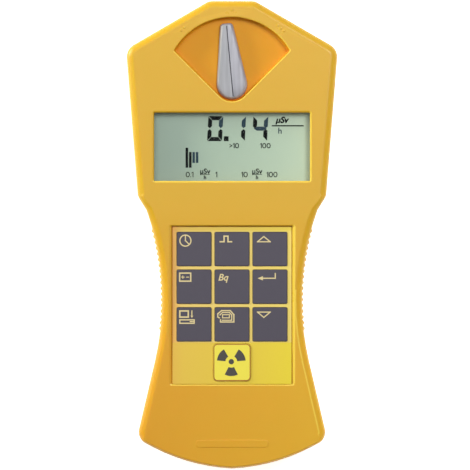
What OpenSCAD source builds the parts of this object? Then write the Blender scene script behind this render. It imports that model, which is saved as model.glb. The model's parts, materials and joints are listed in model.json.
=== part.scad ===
// Handheld Geiger counter with a rotating radiation selector, a liquid crystal display and a ten-key pad.
// Frame: +X across the case, +Y towards the sensor end, +Z out of the display face.
// Origin: centre of the flat rear face, halfway along the case. All lengths are millimetres.

/* [Case] */
// Length from the sensor end to the tip of the base
case_l = 163; // [161:0.5:168]
// Thickness from the rear face to the display face
case_t = 30; // [30:0.5:33]
// Height of the parting line between the two shells
split_z = 14; // [13:0.5:15]
// Wall thickness of both shells
wall = 2.2; // [2:0.1:2.4]
// Width of the flat at the sensor end
nose_w = 16; // [15:0.5:18]
// Width across the shoulders, measured to the sharp corners
shoulder_w = 73.8; // [73:0.2:76]
// Distance from the sensor end to the shoulder corners
shoulder_drop = 16.8; // [16:0.2:18]
// Width of the head at its lower corners
head_w = 65.6; // [65:0.2:68]
// Distance from the sensor end to the lower corners of the head
head_l = 68; // [67:0.5:69]
// Width of the grip at its narrowest place
waist_w = 48.8; // [48:0.2:51]
// Distance from the sensor end to the narrowest place
waist_drop = 104.1; // [103:0.1:105]
// Radius of the hollow sides of the grip
grip_r = 93.5; // [90:0.5:98]
// Angle by which each side of the base flares out
flare_angle = 13.2; // [12:0.2:14]
// Radius of the curved end of the base
base_r = 66; // [60:1:72]
// Width of the rounding between the faces and the sides
edge_w = 2.8; // [2:0.1:3]
// Height of the same rounding
edge_h = 2.6; // [2:0.1:3]
// Distance between two grip ribs
rib_pitch = 2; // [1.8:0.1:2.4]
// Ribs on each side of the grip
rib_count = 18; // [12:1:19]

/* [Selector] */
// Distance from the sensor end to the selector's pivot
pivot_drop = 29; // [28.8:0.1:29.4]
// Radius of the outer edge of the selector pocket
pocket_r = 23.2; // [22.4:0.2:23.6]
// Radius of the pocket around the pivot
pocket_hub_r = 6.1; // [5.9:0.1:6.3]
// Depth of the selector pocket
pocket_depth = 2.6; // [2.4:0.1:3]
// Length of the lever from the pivot to its tip
lever_l = 21.4; // [20:0.2:22]
// Radius of the lever's wide end
lever_hub_r = 5.3; // [4.8:0.05:5.4]
// Radius of the lever's tip
lever_tip_r = 2.2; // [1.8:0.1:2.4]
// Angle of the lever at rest, towards the left of straight up
lever_angle = 5.3; // [4:0.1:6]
// Turn to the left stop
turn_left = 40; // [38:1:41]
// Turn to the right stop
turn_right = 50; // [48:1:51]
// Radius of the lever's shaft
shaft_r = 3; // [2.8:0.1:3.1]

/* [Display] */
// Width of the display opening
window_w = 54.2; // [52:0.2:55]
// Height of the display opening
window_h = 23.7; // [22:0.1:24]
// Distance from the sensor end to the middle of the display
window_drop = 50.85; // [50.6:0.05:51.2]

/* [Keypad] */
// Width of one key
key_w = 12; // [11:0.1:12]
// Height of one key
key_h = 11.8; // [11:0.1:11.8]
// Side of the sounder key below the nine small ones
big_key_w = 13.1; // [12:0.1:13.1]
// Distance between two columns of keys
key_pitch_x = 13.2; // [13.2:0.1:13.4]
// Distance between two rows of keys
key_pitch_y = 13.1; // [13.1:0.1:13.2]
// Distance from the sensor end to the first row of keys
key_drop = 86.4; // [86.2:0.1:86.6]
// Travel of a key
key_travel = 0.35; // [0.2:0.05:0.35]
// Width of the keypad overlay
overlay_w = 41.9; // [41.5:0.1:42.5]
// Height of the keypad overlay
overlay_h = 54.9; // [54.6:0.1:55.2]

/* [Detector and power] */
// Diameter of the counter tube
tube_d = 15; // [14:0.2:15]
// Length of the counter tube
tube_l = 49; // [46:0.5:50]
// Diameter of the tube's thin window
tube_window_d = 9.1; // [8:0.1:10]
// Diameter of the lithium cell
cell_d = 14.5; // [14:0.1:14.5]
// Length of the lithium cell
cell_l = 50.5; // [45:0.5:50.5]
// Thickness of the circuit board
board_t = 1.6; // [1.2:0.1:1.6]

/* [Hidden] */

$fn = 64;
slack = 0.05;          // gap between two pieces that sit in each other
sliver = 0.01;         // overlap that makes two shapes of one piece merge
through = 1;           // how far a cutting shape passes the face that it cuts

case_yellow = [0.89, 0.66, 0.13];
film_yellow = [0.92, 0.80, 0.26];
key_grey = [0.30, 0.29, 0.34];
sign_yellow = [0.94, 0.90, 0.20];
lever_grey = [0.70, 0.70, 0.74];
steel = [0.72, 0.73, 0.75];
brass = [0.80, 0.66, 0.32];
board_green = [0.10, 0.38, 0.22];
chip_black = [0.09, 0.09, 0.10];

// Heights through the case
face_z = case_t;
head_ceiling = face_z - 2.4;
grip_ceiling = face_z - 3.4;
overlay_top = face_z - 1.1;
overlay_t = 0.6;
overlay_floor = overlay_top - overlay_t;
pocket_floor = face_z - pocket_depth;
pocket_base = face_z - 7;
lens_top = face_z - 1.9;
lens_t = 1.4;
board_top = face_z - 5.7;
board_base = board_top - board_t;
disc_top = pocket_base - 0.2;
disc_base = disc_top - 1.4;
arm_base = disc_base - 1.8;
tube_z = wall + tube_d / 2 + 0.9;
cell_z = wall + cell_d / 2 + 0.4;

// Plan of the case
nose_y = case_l / 2;
tip_y = -case_l / 2;
nose_corner = [nose_w / 2, nose_y];
shoulder = [shoulder_w / 2, nose_y - shoulder_drop];
head_corner = [head_w / 2, nose_y - head_l];
grip_centre = [waist_w / 2 + grip_r, nose_y - waist_drop];
grip_top_y = head_corner[1] - 4.9;
grip_top_angle = asin((grip_top_y - grip_centre[1]) / grip_r);
grip_top = on_circle(grip_centre, grip_r, 180 - grip_top_angle);
flare_start = on_circle(grip_centre, grip_r, 180 + flare_angle);
flare_dir = [sin(flare_angle), -cos(flare_angle)];
base_shift = 3;        // each half of the base's end is struck from beyond the centre line
base_centre = [-base_shift, tip_y + sqrt(base_r * base_r - base_shift * base_shift)];
base_corner = flare_start + flare_dir * ray_to_circle(flare_start - base_centre, flare_dir, base_r);
base_corner_angle = bearing(base_centre, base_corner);
base_tangent = [sin(base_corner_angle), -cos(base_corner_angle)];
base_corner_r = 4.5;
base_arc_start = base_corner_angle - 6;   // past the end of the corner's rounding
base_arc_end = -acos(base_shift / base_r);

right_side = concat(
    fillet([0, nose_y], nose_corner, shoulder, 3.5, 2),
    fillet(nose_corner, shoulder, head_corner, 4.8, 5),
    fillet(shoulder, head_corner, grip_top, 3.2, 3),
    arc_points(grip_centre, grip_r, 180 - grip_top_angle, 180 + flare_angle, 10),
    fillet(flare_start, base_corner, base_corner + base_tangent, base_corner_r, 5),
    arc_points(base_centre, base_r, base_arc_start, base_arc_end, 7)
);
outline = concat(right_side, [for (i = [len(right_side) - 2:-1:0]) [-right_side[i][0], right_side[i][1]]]);

// The display face falls away towards the base, from just above the keypad
slope_y = head_corner[1] - 7.5;
slope_drop = face_z - overlay_top;
overlay_y = nose_y - key_drop + key_h / 2 + 2 - overlay_h / 2;
slope_angle = atan(slope_drop / (slope_y - overlay_y + overlay_h / 2));

pivot = [0, nose_y - pivot_drop];
window_y = nose_y - window_drop;
key_y = nose_y - key_drop;
big_key_y = key_y - 3 * key_pitch_y - 0.1;
key_slack = 0.1;
key_top = overlay_top + 0.25;
flange_top = grip_ceiling - slack;
flange_base = flange_top - 0.8;
nub_base = board_top + 0.25 + key_travel;
tube_front = pivot[1] + 17.5;
tube_back = tube_front - tube_l;
shield_r = tube_d / 2 + 12.1;
shield_t = 3;
rim_r = shield_r + shield_t + 1;
shield_half_angle = 19;
disc_r = 6.2;
notch_r = 1;
notch_centre_r = 6.5;
lug_half_angle = 8;
lug_r = 8.6;
stop_r = 1.2;
stop_centre_r = 8;
stop_half_angle = asin(stop_r / stop_centre_r);
lever_base = pocket_floor + 0.3;
lever_brow = face_z - 1.5;
lever_top = face_z - 0.2;
cup_wall = 1.6;
hollow_half_angle = 42;
grille_half = 6.2;
grille_flange_half = 7.3;
screw_places = [[28.5, nose_y - 21], [24.5, head_corner[1] - 0.7], [23, tip_y + 17.5]];
board_screw_places = [[17, head_corner[1] - 3], [16, tip_y + 24.5]];
socket_y = window_y - 4.6;
socket_half = 3.85;
holder_y = tube_front - 33;
cell_y = grip_centre[1] - 10;
buzzer_y = tip_y + 13.5;
plate_size = [44, 26];
plate_y = -18;

// Rounding between the faces and the sides: it stops short of the face and leaves a soft crease
edge_steps = 3;
edge_turn = 66;
seam_depth = 0.35;     // depth of the groove between the shells
rib_gap = 0.9;         // distance from the parting line to the ribs

// Display
head_inside = head_w - 2 * wall;
panel_size = [window_w + 2.8, window_h + 2.4];
panel_top = lens_top - lens_t - 0.2;
panel_t = 1.5;

key_names = [
    ["key_clock", -1, 0], ["key_pulse", 0, 0], ["key_up", 1, 0],
    ["key_battery", -1, 1], ["key_unit", 0, 1], ["key_enter", 1, 1],
    ["key_transfer", -1, 2], ["key_memory", 0, 2], ["key_down", 1, 2]
];

// ---------------------------------------------------------------- plane geometry

function unit(v) = v / norm(v);
function on_circle(c, r, a) = [c[0] + r * cos(a), c[1] + r * sin(a)];
function arc_points(c, r, from, to, n) = [for (i = [0:n]) on_circle(c, r, from + (to - from) * i / n)];
function short_turn(a) = a > 180 ? a - 360 : a < -180 ? a + 360 : a;
function bearing(from, to) = atan2(to[1] - from[1], to[0] - from[0]);

// Distance along direction d from a point at offset v from a circle's centre to the circle of radius r
function ray_to_circle(v, d, r) = -(d * v) + sqrt(pow(d * v, 2) - v * v + r * r);

// Arc of radius r that rounds corner b between the legs towards a and c
function fillet(a, b, c, r, n) =
    let (u = unit(a - b), v = unit(c - b), half = acos(u * v) / 2)
    let (centre = b + unit(u + v) * r / sin(half), reach = r / tan(half))
    let (from = bearing(centre, b + u * reach), to = bearing(centre, b + v * reach))
    arc_points(centre, r, from, from + short_turn(to - from), n);

// Inward normal of the edge from a to b of a clockwise outline
function inward(a, b) = let (d = unit(b - a)) [d[1], -d[0]];

// Outline moved inward by d
function inset(points, d) = [
    for (i = [0:len(points) - 1])
        let (n = len(points), p = points[i])
        let (before = inward(points[(i + n - 1) % n], p), after = inward(p, points[(i + 1) % n]))
        p + d * (before + after) / (1 + before * after)
];

// ---------------------------------------------------------------- shared shapes

// Solid through rings of equal length that are symmetrical about x = 0, from the lowest to the highest.
// The end faces are strips across the case, from each point to its mirror image.
module loft(rings) {
    n = len(rings[0]);
    top = len(rings) - 1;
    half = (n - 1) / 2;
    strips = [for (i = [0:half - 1]) i < half - 1 ? [i, i + 1, n - 2 - i, n - 1 - i] : [i, i + 1, i + 2]];
    polyhedron(
        points = [for (ring = rings) each ring],
        faces = concat(
            [for (s = strips) [for (j = [len(s) - 1:-1:0]) s[j]]],
            [for (k = [0:top - 1]) for (i = [0:n - 1])
                [k * n + i, k * n + (i + 1) % n, (k + 1) * n + (i + 1) % n, (k + 1) * n + i]],
            [for (s = strips) [for (i = s) top * n + i]]
        )
    );
}

function ring_at(d, z) = [for (p = inset(outline, d)) [p[0], p[1], z]];

// Inset from the side and depth below the face at step k of the rounding
function edge_point(k) =
    let (a = edge_turn * k / edge_steps)
    [edge_w * (1 - cos(a)) / (1 - cos(edge_turn)), edge_h * (1 - sin(a) / sin(edge_turn))];
edge_rise = [for (k = [0:edge_steps]) edge_point(k)];

// Case skin through rings given as [inset, height]
module skin(profile) {
    loft([for (p = profile) ring_at(p[0], p[1])]);
}

module front_skin() {
    skin(concat(
        [[seam_depth, split_z], [0, split_z + seam_depth]],
        [for (e = edge_rise) [e[0], face_z - e[1]]]
    ));
}

module rear_skin() {
    skin(concat(
        [for (k = [edge_steps:-1:0]) edge_rise[k]],
        [[0, split_z - seam_depth], [seam_depth, split_z]]
    ));
}

// Plate with the plan of the case moved inward by d
module case_slab(d, low, high) {
    translate([0, 0, low])
        linear_extrude(high - low)
            polygon(inset(outline, d));
}

// Half-round ribs down both sides of the grip, from height low to height high
module grip_ribs(low, high) {
    first_y = grip_centre[1] + 24;
    for (side = [-1, 1])
        for (i = [0:rib_count - 1])
            let (y = first_y - i * rib_pitch, a = asin((y - grip_centre[1]) / grip_r))
                translate([side * (grip_centre[0] - grip_r * cos(a) - 0.35), y, low])
                    cylinder(r = 0.85, h = high - low, $fn = 24);
}

module at_both_sides(places) {
    for (p = places)
        for (side = [-1, 1])
            translate([side * p[0], p[1], 0])
                children();
}

// Box centred on x and y, from height low to height high
module block(size, at, low, high) {
    translate([at[0] - size[0] / 2, at[1] - size[1] / 2, low])
        cube([size[0], size[1], high - low]);
}

module post(r, at, low, high) {
    translate([at[0], at[1], low])
        cylinder(r = r, h = high - low);
}

// Cylinder along +Y from y = from to y = to, at x = 0 and height z
module lying(r, from, to, z) {
    translate([0, from, z])
        rotate([-90, 0, 0])
            cylinder(r = r, h = to - from);
}

// Part of a flat ring about the origin between two bearings, counted anticlockwise from +Y
module ring_sector(inner, outer, from, to) {
    reach = 2 * outer;
    intersection() {
        difference() {
            circle(outer);
            circle(inner);
        }
        polygon(concat([[0, 0]], arc_points([0, 0], reach, from + 90, to + 90, 4)));
    }
}

// Plan of the selector pocket, grown outward by g
module pocket_plan(g) {
    r = pocket_hub_r + g;
    touch = r * sin(45);
    reach = 2 * pocket_r;
    circle(r);
    intersection() {
        circle(pocket_r + g);
        polygon([
            [touch, -touch], [touch + reach, reach - touch],
            [-touch - reach, reach - touch], [-touch, -touch]
        ]);
    }
}

module at_pivot() {
    translate([pivot[0], pivot[1], 0])
        children();
}

function from_pivot(r, a) = [pivot[0] - r * sin(a), pivot[1] + r * cos(a)];

function key_place(column, row) = [column * key_pitch_x, key_y - row * key_pitch_y];

module at_keys() {
    for (k = key_names)
        translate(key_place(k[1], k[2]))
            children();
}

// ---------------------------------------------------------------- case

module front_cavity() {
    case_slab(wall, split_z - through, grip_ceiling);
    intersection() {
        case_slab(wall, split_z - through, head_ceiling);
        block([2 * shoulder_w, case_l], [0, slope_y + case_l / 2], 0, case_t);
    }
}

module selector_cup() {
    at_pivot()
        translate([0, 0, pocket_base])
            linear_extrude(face_z - 2 - pocket_base)
                pocket_plan(cup_wall);
}

// Slotted blocks that hold the ends of the detent spring
module spring_posts() {
    spring_y = pivot[1] + notch_centre_r + 0.15;
    for (side = [-1, 1])
        difference() {
            block([2.5, 2.7], [side * 9.25, spring_y], disc_base + 0.1, pocket_base + sliver);
            block([2 * through + 2.5, 0.4], [side * 9.25, spring_y], 0, pocket_base - 0.1);
        }
}

module stop_posts() {
    left = from_pivot(stop_centre_r, 180 + turn_left + lug_half_angle + stop_half_angle + 0.6);
    right = from_pivot(stop_centre_r, 180 - turn_right - lug_half_angle - stop_half_angle - 0.6);
    post(stop_r, left, disc_base + 0.1, pocket_base + 1);
    post(stop_r, right, disc_base + 0.1, pocket_base + 1);
}

function ceiling_at(p) = p[1] > slope_y ? head_ceiling : grip_ceiling;

module front_bosses() {
    for (p = screw_places)
        at_both_sides([p])
            post(3.2, [0, 0], split_z, ceiling_at(p) + sliver);
    for (p = board_screw_places)
        at_both_sides([p])
            post(2.6, [0, 0], board_top, ceiling_at(p) + sliver);
}

module front_openings() {
    // selector pocket and shaft
    at_pivot()
        translate([0, 0, pocket_floor])
            linear_extrude(pocket_depth + through)
                pocket_plan(0);
    post(shaft_r + slack, pivot, pocket_base - through, pocket_floor + through);
    post(shaft_r + 1.3, pivot, pocket_floor - 1, pocket_floor + through);
    // hollow under the pocket, which leaves a thick hub around the shaft
    at_pivot()
        translate([0, 0, pocket_base - through])
            linear_extrude(pocket_floor - 2 - pocket_base + through)
                ring_sector(14.5, pocket_r - 1.2, -hollow_half_angle, hollow_half_angle);
    // display
    block([window_w, window_h], [0, window_y], lens_top - through, face_z + through);
    block([window_w + 3.4, window_h + 3.4], [0, window_y], head_ceiling - through, lens_top);
    // keypad
    block([overlay_w + 2 * slack, overlay_h + 2 * slack], [0, overlay_y], overlay_floor, face_z + through);
    at_keys()
        block([key_w + 2 * key_slack, key_h + 2 * key_slack], [0, 0], 0, face_z);
    block([big_key_w + 2 * key_slack, big_key_w + 2 * key_slack], [0, big_key_y], 0, face_z);
    // sensor end
    block([2 * grille_half + 2 * slack, 6], [0, nose_y], 0, tube_z + grille_half + slack);
    // data socket
    block([8, 2 * socket_half + 1.6], [-head_w / 2 - 2, socket_y], board_base - 4.6, board_base + 0.6);
    // pilot holes for the screws
    at_both_sides(screw_places)
        post(1.07, [0, 0], split_z - through, split_z + 8);
    at_both_sides(board_screw_places)
        post(0.82, [0, 0], board_top - through, grip_ceiling - 0.6);
    // falling face of the grip and base
    translate([0, slope_y, face_z])
        rotate([slope_angle, 0, 0])
            translate([-shoulder_w, -case_l, 0])
                cube([2 * shoulder_w, case_l, 2 * edge_h]);
}

module front_shell() {
    color(case_yellow)
        difference() {
            union() {
                difference() {
                    front_skin();
                    front_cavity();
                }
                grip_ribs_front();
                selector_cup();
                spring_posts();
                stop_posts();
                front_bosses();
            }
            front_openings();
        }
}

module grip_ribs_front() {
    difference() {
        grip_ribs(split_z + rib_gap, grip_ceiling - 0.4);
        case_slab(wall / 2, 0, case_t);
    }
}

module grip_ribs_rear() {
    difference() {
        grip_ribs(edge_h + 0.6, split_z - rib_gap);
        case_slab(wall / 2, 0, case_t);
    }
}

// Tongue of the rear shell that stands inside the front shell
module seam_lip() {
    difference() {
        case_slab(wall + slack, split_z - 1.5, split_z + 1.5);
        case_slab(wall + 1, 0, case_t);
        at_both_sides(screw_places)
            post(3.2 + 2 * slack, [0, 0], 0, case_t);
        block([2 * grille_flange_half + 2 * slack, 8], [0, nose_y], 0, case_t);
    }
}

module seam_root() {
    difference() {
        case_slab(wall - 0.5, split_z - 2.5, split_z - 1);
        case_slab(wall + 1, 0, case_t);
        block([2 * grille_flange_half + 2 * slack, 8], [0, nose_y], 0, case_t);
    }
}

module rear_shell() {
    head_seat = 8;
    color(case_yellow)
        difference() {
            union() {
                difference() {
                    rear_skin();
                    case_slab(wall, wall, split_z + through);
                }
                grip_ribs_rear();
                seam_root();
                seam_lip();
                at_both_sides(screw_places)
                    post(3.9, [0, 0], wall - sliver, split_z);
            }
            at_both_sides(screw_places) {
                post(2.9, [0, 0], -through, head_seat);
                post(1.5, [0, 0], 0, split_z + through);
            }
            block([2 * grille_half + 2 * slack, 6], [0, nose_y],
                  tube_z - grille_half - slack, split_z + through);
            block([plate_size[0] + 2 * slack, plate_size[1] + 2 * slack], [0, plate_y], -through, 0.35);
            for (side = [-1, 1])
                post(0.82, [side * 9.8, holder_y], wall - 1.6, wall + through);
            for (i = [-1:1])
                post(0.8, [i * 4, buzzer_y], -through, wall + through);
        }
}

module window_grille() {
    slots = 5;
    slot_w = 1.3;
    slot_h = 10.6;
    front_y = nose_y - 0.3;
    back_y = nose_y - wall - 0.05;
    color(chip_black)
        difference() {
            union() {
                translate([-grille_half, back_y - sliver, tube_z - grille_half])
                    cube([2 * grille_half, front_y - back_y + sliver, 2 * grille_half]);
                translate([-grille_flange_half, back_y - 1, tube_z - grille_flange_half])
                    cube([2 * grille_flange_half, 1, 2 * grille_flange_half]);
            }
            for (i = [0:slots - 1])
                translate([(i - (slots - 1) / 2) * 2.2 - slot_w / 2, nose_y - 5, tube_z - slot_h / 2])
                    cube([slot_w, 8, slot_h]);
        }
}

module rating_plate() {
    color([0.80, 0.80, 0.78])
        block(plate_size, [0, plate_y], 0.05, 0.3);
}

// Pan head, shank and a driver slot: head below z = 0, shank above
module screw(head_r, head_h, shank_r, shank_l) {
    difference() {
        union() {
            translate([0, 0, -head_h])
                cylinder(r = head_r, h = head_h);
            cylinder(r = shank_r, h = shank_l);
        }
        for (turn = [0, 90])
            rotate([0, 0, turn])
                block([head_r * 1.2, head_r * 0.3], [0, 0], -head_h - through, -head_h * 0.45);
    }
}

module case_screws() {
    color(steel)
        at_both_sides(screw_places)
            translate([0, 0, 8 - sliver])
                screw(2.6, 2, 1.05, 13);
}

// ---------------------------------------------------------------- selector

module lever_plan() {
    reach = lever_l - lever_tip_r;
    lean = asin((lever_hub_r - lever_tip_r) / reach);
    hub_touch = lever_hub_r * [cos(lean), sin(lean)];
    tip_touch = [0, reach] + lever_tip_r * [cos(lean), sin(lean)];
    circle(lever_hub_r);
    translate([0, reach])
        circle(lever_tip_r);
    polygon([hub_touch, tip_touch, [-tip_touch[0], tip_touch[1]], [-hub_touch[0], hub_touch[1]]]);
}

module selector_lever() {
    color(lever_grey)
        at_pivot()
            difference() {
                union() {
                    rotate([0, 0, lever_angle]) {
                        // upright sides below the brow, and above it two faces that rise to a central ridge
                        hull() {
                            translate([0, 0, lever_base])
                                linear_extrude(lever_brow - lever_base)
                                    lever_plan($fn = 32);
                            block([0.3, 22.6], [0, 8.3], lever_brow, lever_top);
                        }
                    }
                    post(shaft_r, [0, 0], disc_top + 0.1, lever_base + sliver);
                    difference() {
                        post(2.3, [0, 0], arm_base + 0.9, disc_top + 0.2);
                        block([6, 2], [0, 2.8], 0, disc_top + 0.1);
                    }
                }
                post(0.82, [0, 0], 0, pocket_base + 2);
            }
}

module shaft_seal() {
    color(chip_black)
        translate([pivot[0], pivot[1], pocket_floor - 0.4])
            rotate_extrude()
                translate([shaft_r + 0.65, 0])
                    circle(0.55, $fn = 24);
}

module carrier_plan() {
    ring_sector(0.5, rim_r, -turn_left - 20, shield_half_angle + 1);
    circle(5);
}

module shield_carrier() {
    rim_from = -turn_left - 20;
    rim_to = shield_half_angle + 1;
    low = tube_z - tube_d / 2 + 0.3;
    color([0.16, 0.16, 0.17])
        at_pivot()
            difference() {
                union() {
                    translate([0, 0, arm_base])
                        linear_extrude(disc_base - arm_base + sliver)
                            carrier_plan();
                    translate([0, 0, low])
                        linear_extrude(arm_base - low + sliver)
                            ring_sector(rim_r - 1, rim_r, rim_from, rim_to);
                    post(disc_r, [0, 0], disc_base, disc_top);
                    translate([0, 0, disc_base])
                        linear_extrude(disc_top - disc_base)
                            ring_sector(disc_r - 1, lug_r, 180 - lug_half_angle, 180 + lug_half_angle);
                }
                // seat of the shaft's flatted end, and the screw's hole
                difference() {
                    post(2.32, [0, 0], arm_base + 0.88, disc_top + through);
                    block([6, 2], [0, 2.82], 0, disc_top + 2);
                }
                post(1.05, [0, 0], 0, case_t);
                // three notches for the detent spring
                for (a = [-turn_left, 0, turn_right])
                    rotate([0, 0, a])
                        post(notch_r, [0, notch_centre_r], disc_base + 0.1, disc_top + through);
                // openings in front of the thick shield and the foil
                for (a = [-turn_left, 0])
                    rotate([0, 0, a])
                        lying(tube_window_d / 2 + 0.8, rim_r - 2, rim_r + 2, tube_z);
            }
}

module gamma_shield() {
    color([0.76, 0.77, 0.79])
        at_pivot()
            translate([0, 0, tube_z - tube_d / 2 + 0.5])
                linear_extrude(arm_base - 0.1 - tube_z + tube_d / 2 - 0.5)
                    ring_sector(shield_r, shield_r + shield_t, -shield_half_angle, shield_half_angle);
}

module beta_foil() {
    color([0.82, 0.83, 0.84])
        at_pivot()
            translate([0, 0, tube_z - tube_d / 2 + 0.5])
                linear_extrude(arm_base - 0.1 - tube_z + tube_d / 2 - 0.5)
                    ring_sector(rim_r - 1.15, rim_r - 1, -turn_left - 18, -turn_left + 18);
}

module carrier_screw() {
    color(steel)
        translate([pivot[0], pivot[1], arm_base])
            screw(1.9, 0.9, 0.8, 4);
}

module detent_spring() {
    t = 0.3;
    color(steel)
        translate([pivot[0], pivot[1] + notch_centre_r, disc_base + 0.25])
            linear_extrude(1) {
                for (side = [-1, 1])
                    translate([side * 5.3 - 4.7, 0])
                        square([9.4, t]);
                intersection() {
                    difference() {
                        circle(notch_r - 0.07);
                        circle(notch_r - 0.07 - t);
                    }
                    translate([-2, -2])
                        square([4, 2 + t]);
                }
            }
}

// ---------------------------------------------------------------- display

module display_window() {
    color([0.85, 0.92, 0.88, 0.35])
        block([window_w + 3.2, window_h + 3.2], [0, window_y], lens_top - lens_t, lens_top - 0.02);
}

module display_panel() {
    color([0.68, 0.73, 0.66])
        block(panel_size, [0, window_y], panel_top - panel_t, panel_top);
}

module display_frame() {
    color([0.92, 0.92, 0.90])
        difference() {
            block([head_inside, panel_size[1] + 2], [0, window_y], board_top, lens_top - lens_t - 0.05);
            block([panel_size[0] + 0.1, panel_size[1] + 0.1], [0, window_y], 0, case_t);
            post(pocket_hub_r + cup_wall + 2 * slack, pivot, 0, case_t);
        }
}

module contact_strips() {
    color([0.86, 0.66, 0.70])
        for (side = [-1, 1])
            block([50, 1.6], [0, window_y + side * (panel_size[1] / 2 - 1)],
                  board_top, panel_top - panel_t);
}

// ---------------------------------------------------------------- keypad

module keypad_overlay() {
    color(film_yellow)
        difference() {
            block([overlay_w, overlay_h], [0, overlay_y], overlay_floor, overlay_top);
            at_keys()
                block([key_w + 2 * key_slack, key_h + 2 * key_slack], [0, 0], 0, face_z);
            block([big_key_w + 2 * key_slack, big_key_w + 2 * key_slack], [0, big_key_y], 0, face_z);
        }
}

// Key cap with a flange that keeps it behind the case and a nub that meets the dome
module key_cap(size, at) {
    block(size, at, flange_top - sliver, key_top);
    block(size + [0.7, 0.7], at, flange_base, flange_top);
    post(1.6, at, nub_base, flange_base + sliver);
}

module grey_key(index) {
    k = key_names[index];
    color(key_grey)
        key_cap([key_w, key_h], key_place(k[1], k[2]));
}

module key_clock() { grey_key(0); }
module key_pulse() { grey_key(1); }
module key_up() { grey_key(2); }
module key_battery() { grey_key(3); }
module key_unit() { grey_key(4); }
module key_enter() { grey_key(5); }
module key_transfer() { grey_key(6); }
module key_memory() { grey_key(7); }
module key_down() { grey_key(8); }

module key_sounder() {
    color(sign_yellow)
        key_cap([big_key_w, big_key_w], [0, big_key_y]);
}

// Shallow pressed-metal dome that clicks under a key
module snap_dome() {
    dome_r = 4.2;
    rise = nub_base - 0.05 - board_top;
    sphere_r = (dome_r * dome_r + rise * rise) / (2 * rise);
    sheet = 0.15;
    translate([0, 0, board_top])
        rotate_extrude()
            intersection() {
                difference() {
                    translate([0, rise - sphere_r])
                        circle(sphere_r, $fn = 360);
                    translate([0, rise - sphere_r - sheet])
                        circle(sphere_r, $fn = 360);
                }
                square([dome_r + 1, 2]);
            }
}

module snap_domes() {
    color(steel) {
        at_keys()
            snap_dome();
        translate([0, big_key_y, 0])
            snap_dome();
    }
}

// ---------------------------------------------------------------- electronics

module main_board() {
    head_half = head_inside / 2;
    head_top = pivot[1] - lug_r - 0.2;
    neck_y = window_y - panel_size[1] / 2 - 0.6;
    foot_y = tip_y + 21;
    color(board_green)
        difference() {
            translate([0, 0, board_base])
                linear_extrude(board_t)
                    polygon([
                        [-head_half, neck_y], [-head_half, head_top],
                        [head_half, head_top], [head_half, neck_y],
                        [20.8, neck_y], [20.8, foot_y], [-20.8, foot_y], [-20.8, neck_y]
                    ]);
            at_both_sides(board_screw_places)
                post(1.1, [0, 0], 0, case_t);
        }
}

module board_screws() {
    color(steel)
        at_both_sides(board_screw_places)
            translate([0, 0, board_base])
                screw(1.9, 1.3, 0.8, 3);
}

module counter_tube() {
    r = tube_d / 2;
    color(steel)
        difference() {
            lying(r, tube_back, tube_front, tube_z);
            lying(r - 0.6, tube_back + 1.5, tube_front - 0.8, tube_z);
            lying(tube_window_d / 2, tube_front - 2, tube_front + through, tube_z);
            lying(3, tube_back - through, tube_back + 2, tube_z);
        }
}

module tube_window() {
    color([0.80, 0.72, 0.55, 0.6])
        lying(tube_d / 2 - 0.65, tube_front - 0.95, tube_front - 0.85, tube_z);
}

module tube_insulator() {
    color([0.90, 0.90, 0.86])
        difference() {
            lying(2.98, tube_back - 1, tube_back + 2, tube_z);
            lying(0.6, tube_back - 2, tube_back + 3, tube_z);
        }
}

module anode_wire() {
    color(brass)
        lying(0.5, tube_back - 5, tube_front - 8, tube_z);
}

module anode_cap() {
    color(brass)
        difference() {
            union() {
                lying(2, tube_back - 6, tube_back - 1.5, tube_z);
                post(0.4, [0, tube_back - 4], tube_z, board_base);
            }
            lying(0.55, tube_back - 6 - through, tube_back, tube_z);
        }
}

// Open clip for a lying cylinder of radius r at height z, l long, standing on the case floor
module open_clip(r, y, z, l) {
    difference() {
        block([2 * r + 5.6, l], [0, y], wall, z + r * 0.45);
        lying(r + slack, y - l, y + l, z);
    }
}

module tube_holder() {
    color([0.20, 0.20, 0.22])
        difference() {
            union() {
                open_clip(tube_d / 2, holder_y - 9, tube_z, 5);
                open_clip(tube_d / 2, holder_y + 9, tube_z, 5);
                block([12, 14], [0, holder_y], wall, wall + 0.7);
                block([25, 6], [0, holder_y], wall, wall + 0.7);
            }
            for (side = [-1, 1])
                post(1.05, [side * 9.8, holder_y], 0, case_t);
        }
}

module holder_screws() {
    color(steel)
        for (side = [-1, 1])
            translate([side * 9.8, holder_y, wall + 0.7])
                mirror([0, 0, 1])
                    screw(1.9, 1.1, 0.8, 2.1);
}

module lithium_cell() {
    color([0.25, 0.42, 0.36]) {
        lying(cell_d / 2, cell_y - cell_l / 2, cell_y + cell_l / 2, cell_z);
        lying(2.6, cell_y + cell_l / 2 - sliver, cell_y + cell_l / 2 + 1.2, cell_z);
    }
}

module cell_holder() {
    color([0.20, 0.20, 0.22]) {
        open_clip(cell_d / 2, cell_y - 16, cell_z, 6);
        open_clip(cell_d / 2, cell_y + 16, cell_z, 6);
        block([8, 28], [0, cell_y], wall, wall + 0.35);
    }
}

// Welded strips that lead from the cell's ends up to the board
module cell_tabs() {
    t = 0.3;
    front = cell_y + cell_l / 2 + 1.2;
    back = cell_y - cell_l / 2;
    color(steel) {
        translate([-2, front + 0.02, cell_z - 2])
            cube([4, t, board_base - cell_z + 2]);
        translate([-2, back - t - 0.02, cell_z - 2])
            cube([4, t, board_base - cell_z + 2]);
    }
}

module transformer() {
    at = [14.5, head_corner[1] - 17];
    color([0.24, 0.22, 0.22]) {
        block([11, 11], at, board_base - 1.6, board_base);
        block([11, 11], at, board_base - 8, board_base - 6.4);
        post(3, at, board_base - 7, board_base - 1);
    }
    color([0.70, 0.36, 0.16])
        difference() {
            post(4.9, at, board_base - 6.4, board_base - 1.6);
            post(2.9, at, 0, case_t);
        }
}

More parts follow.
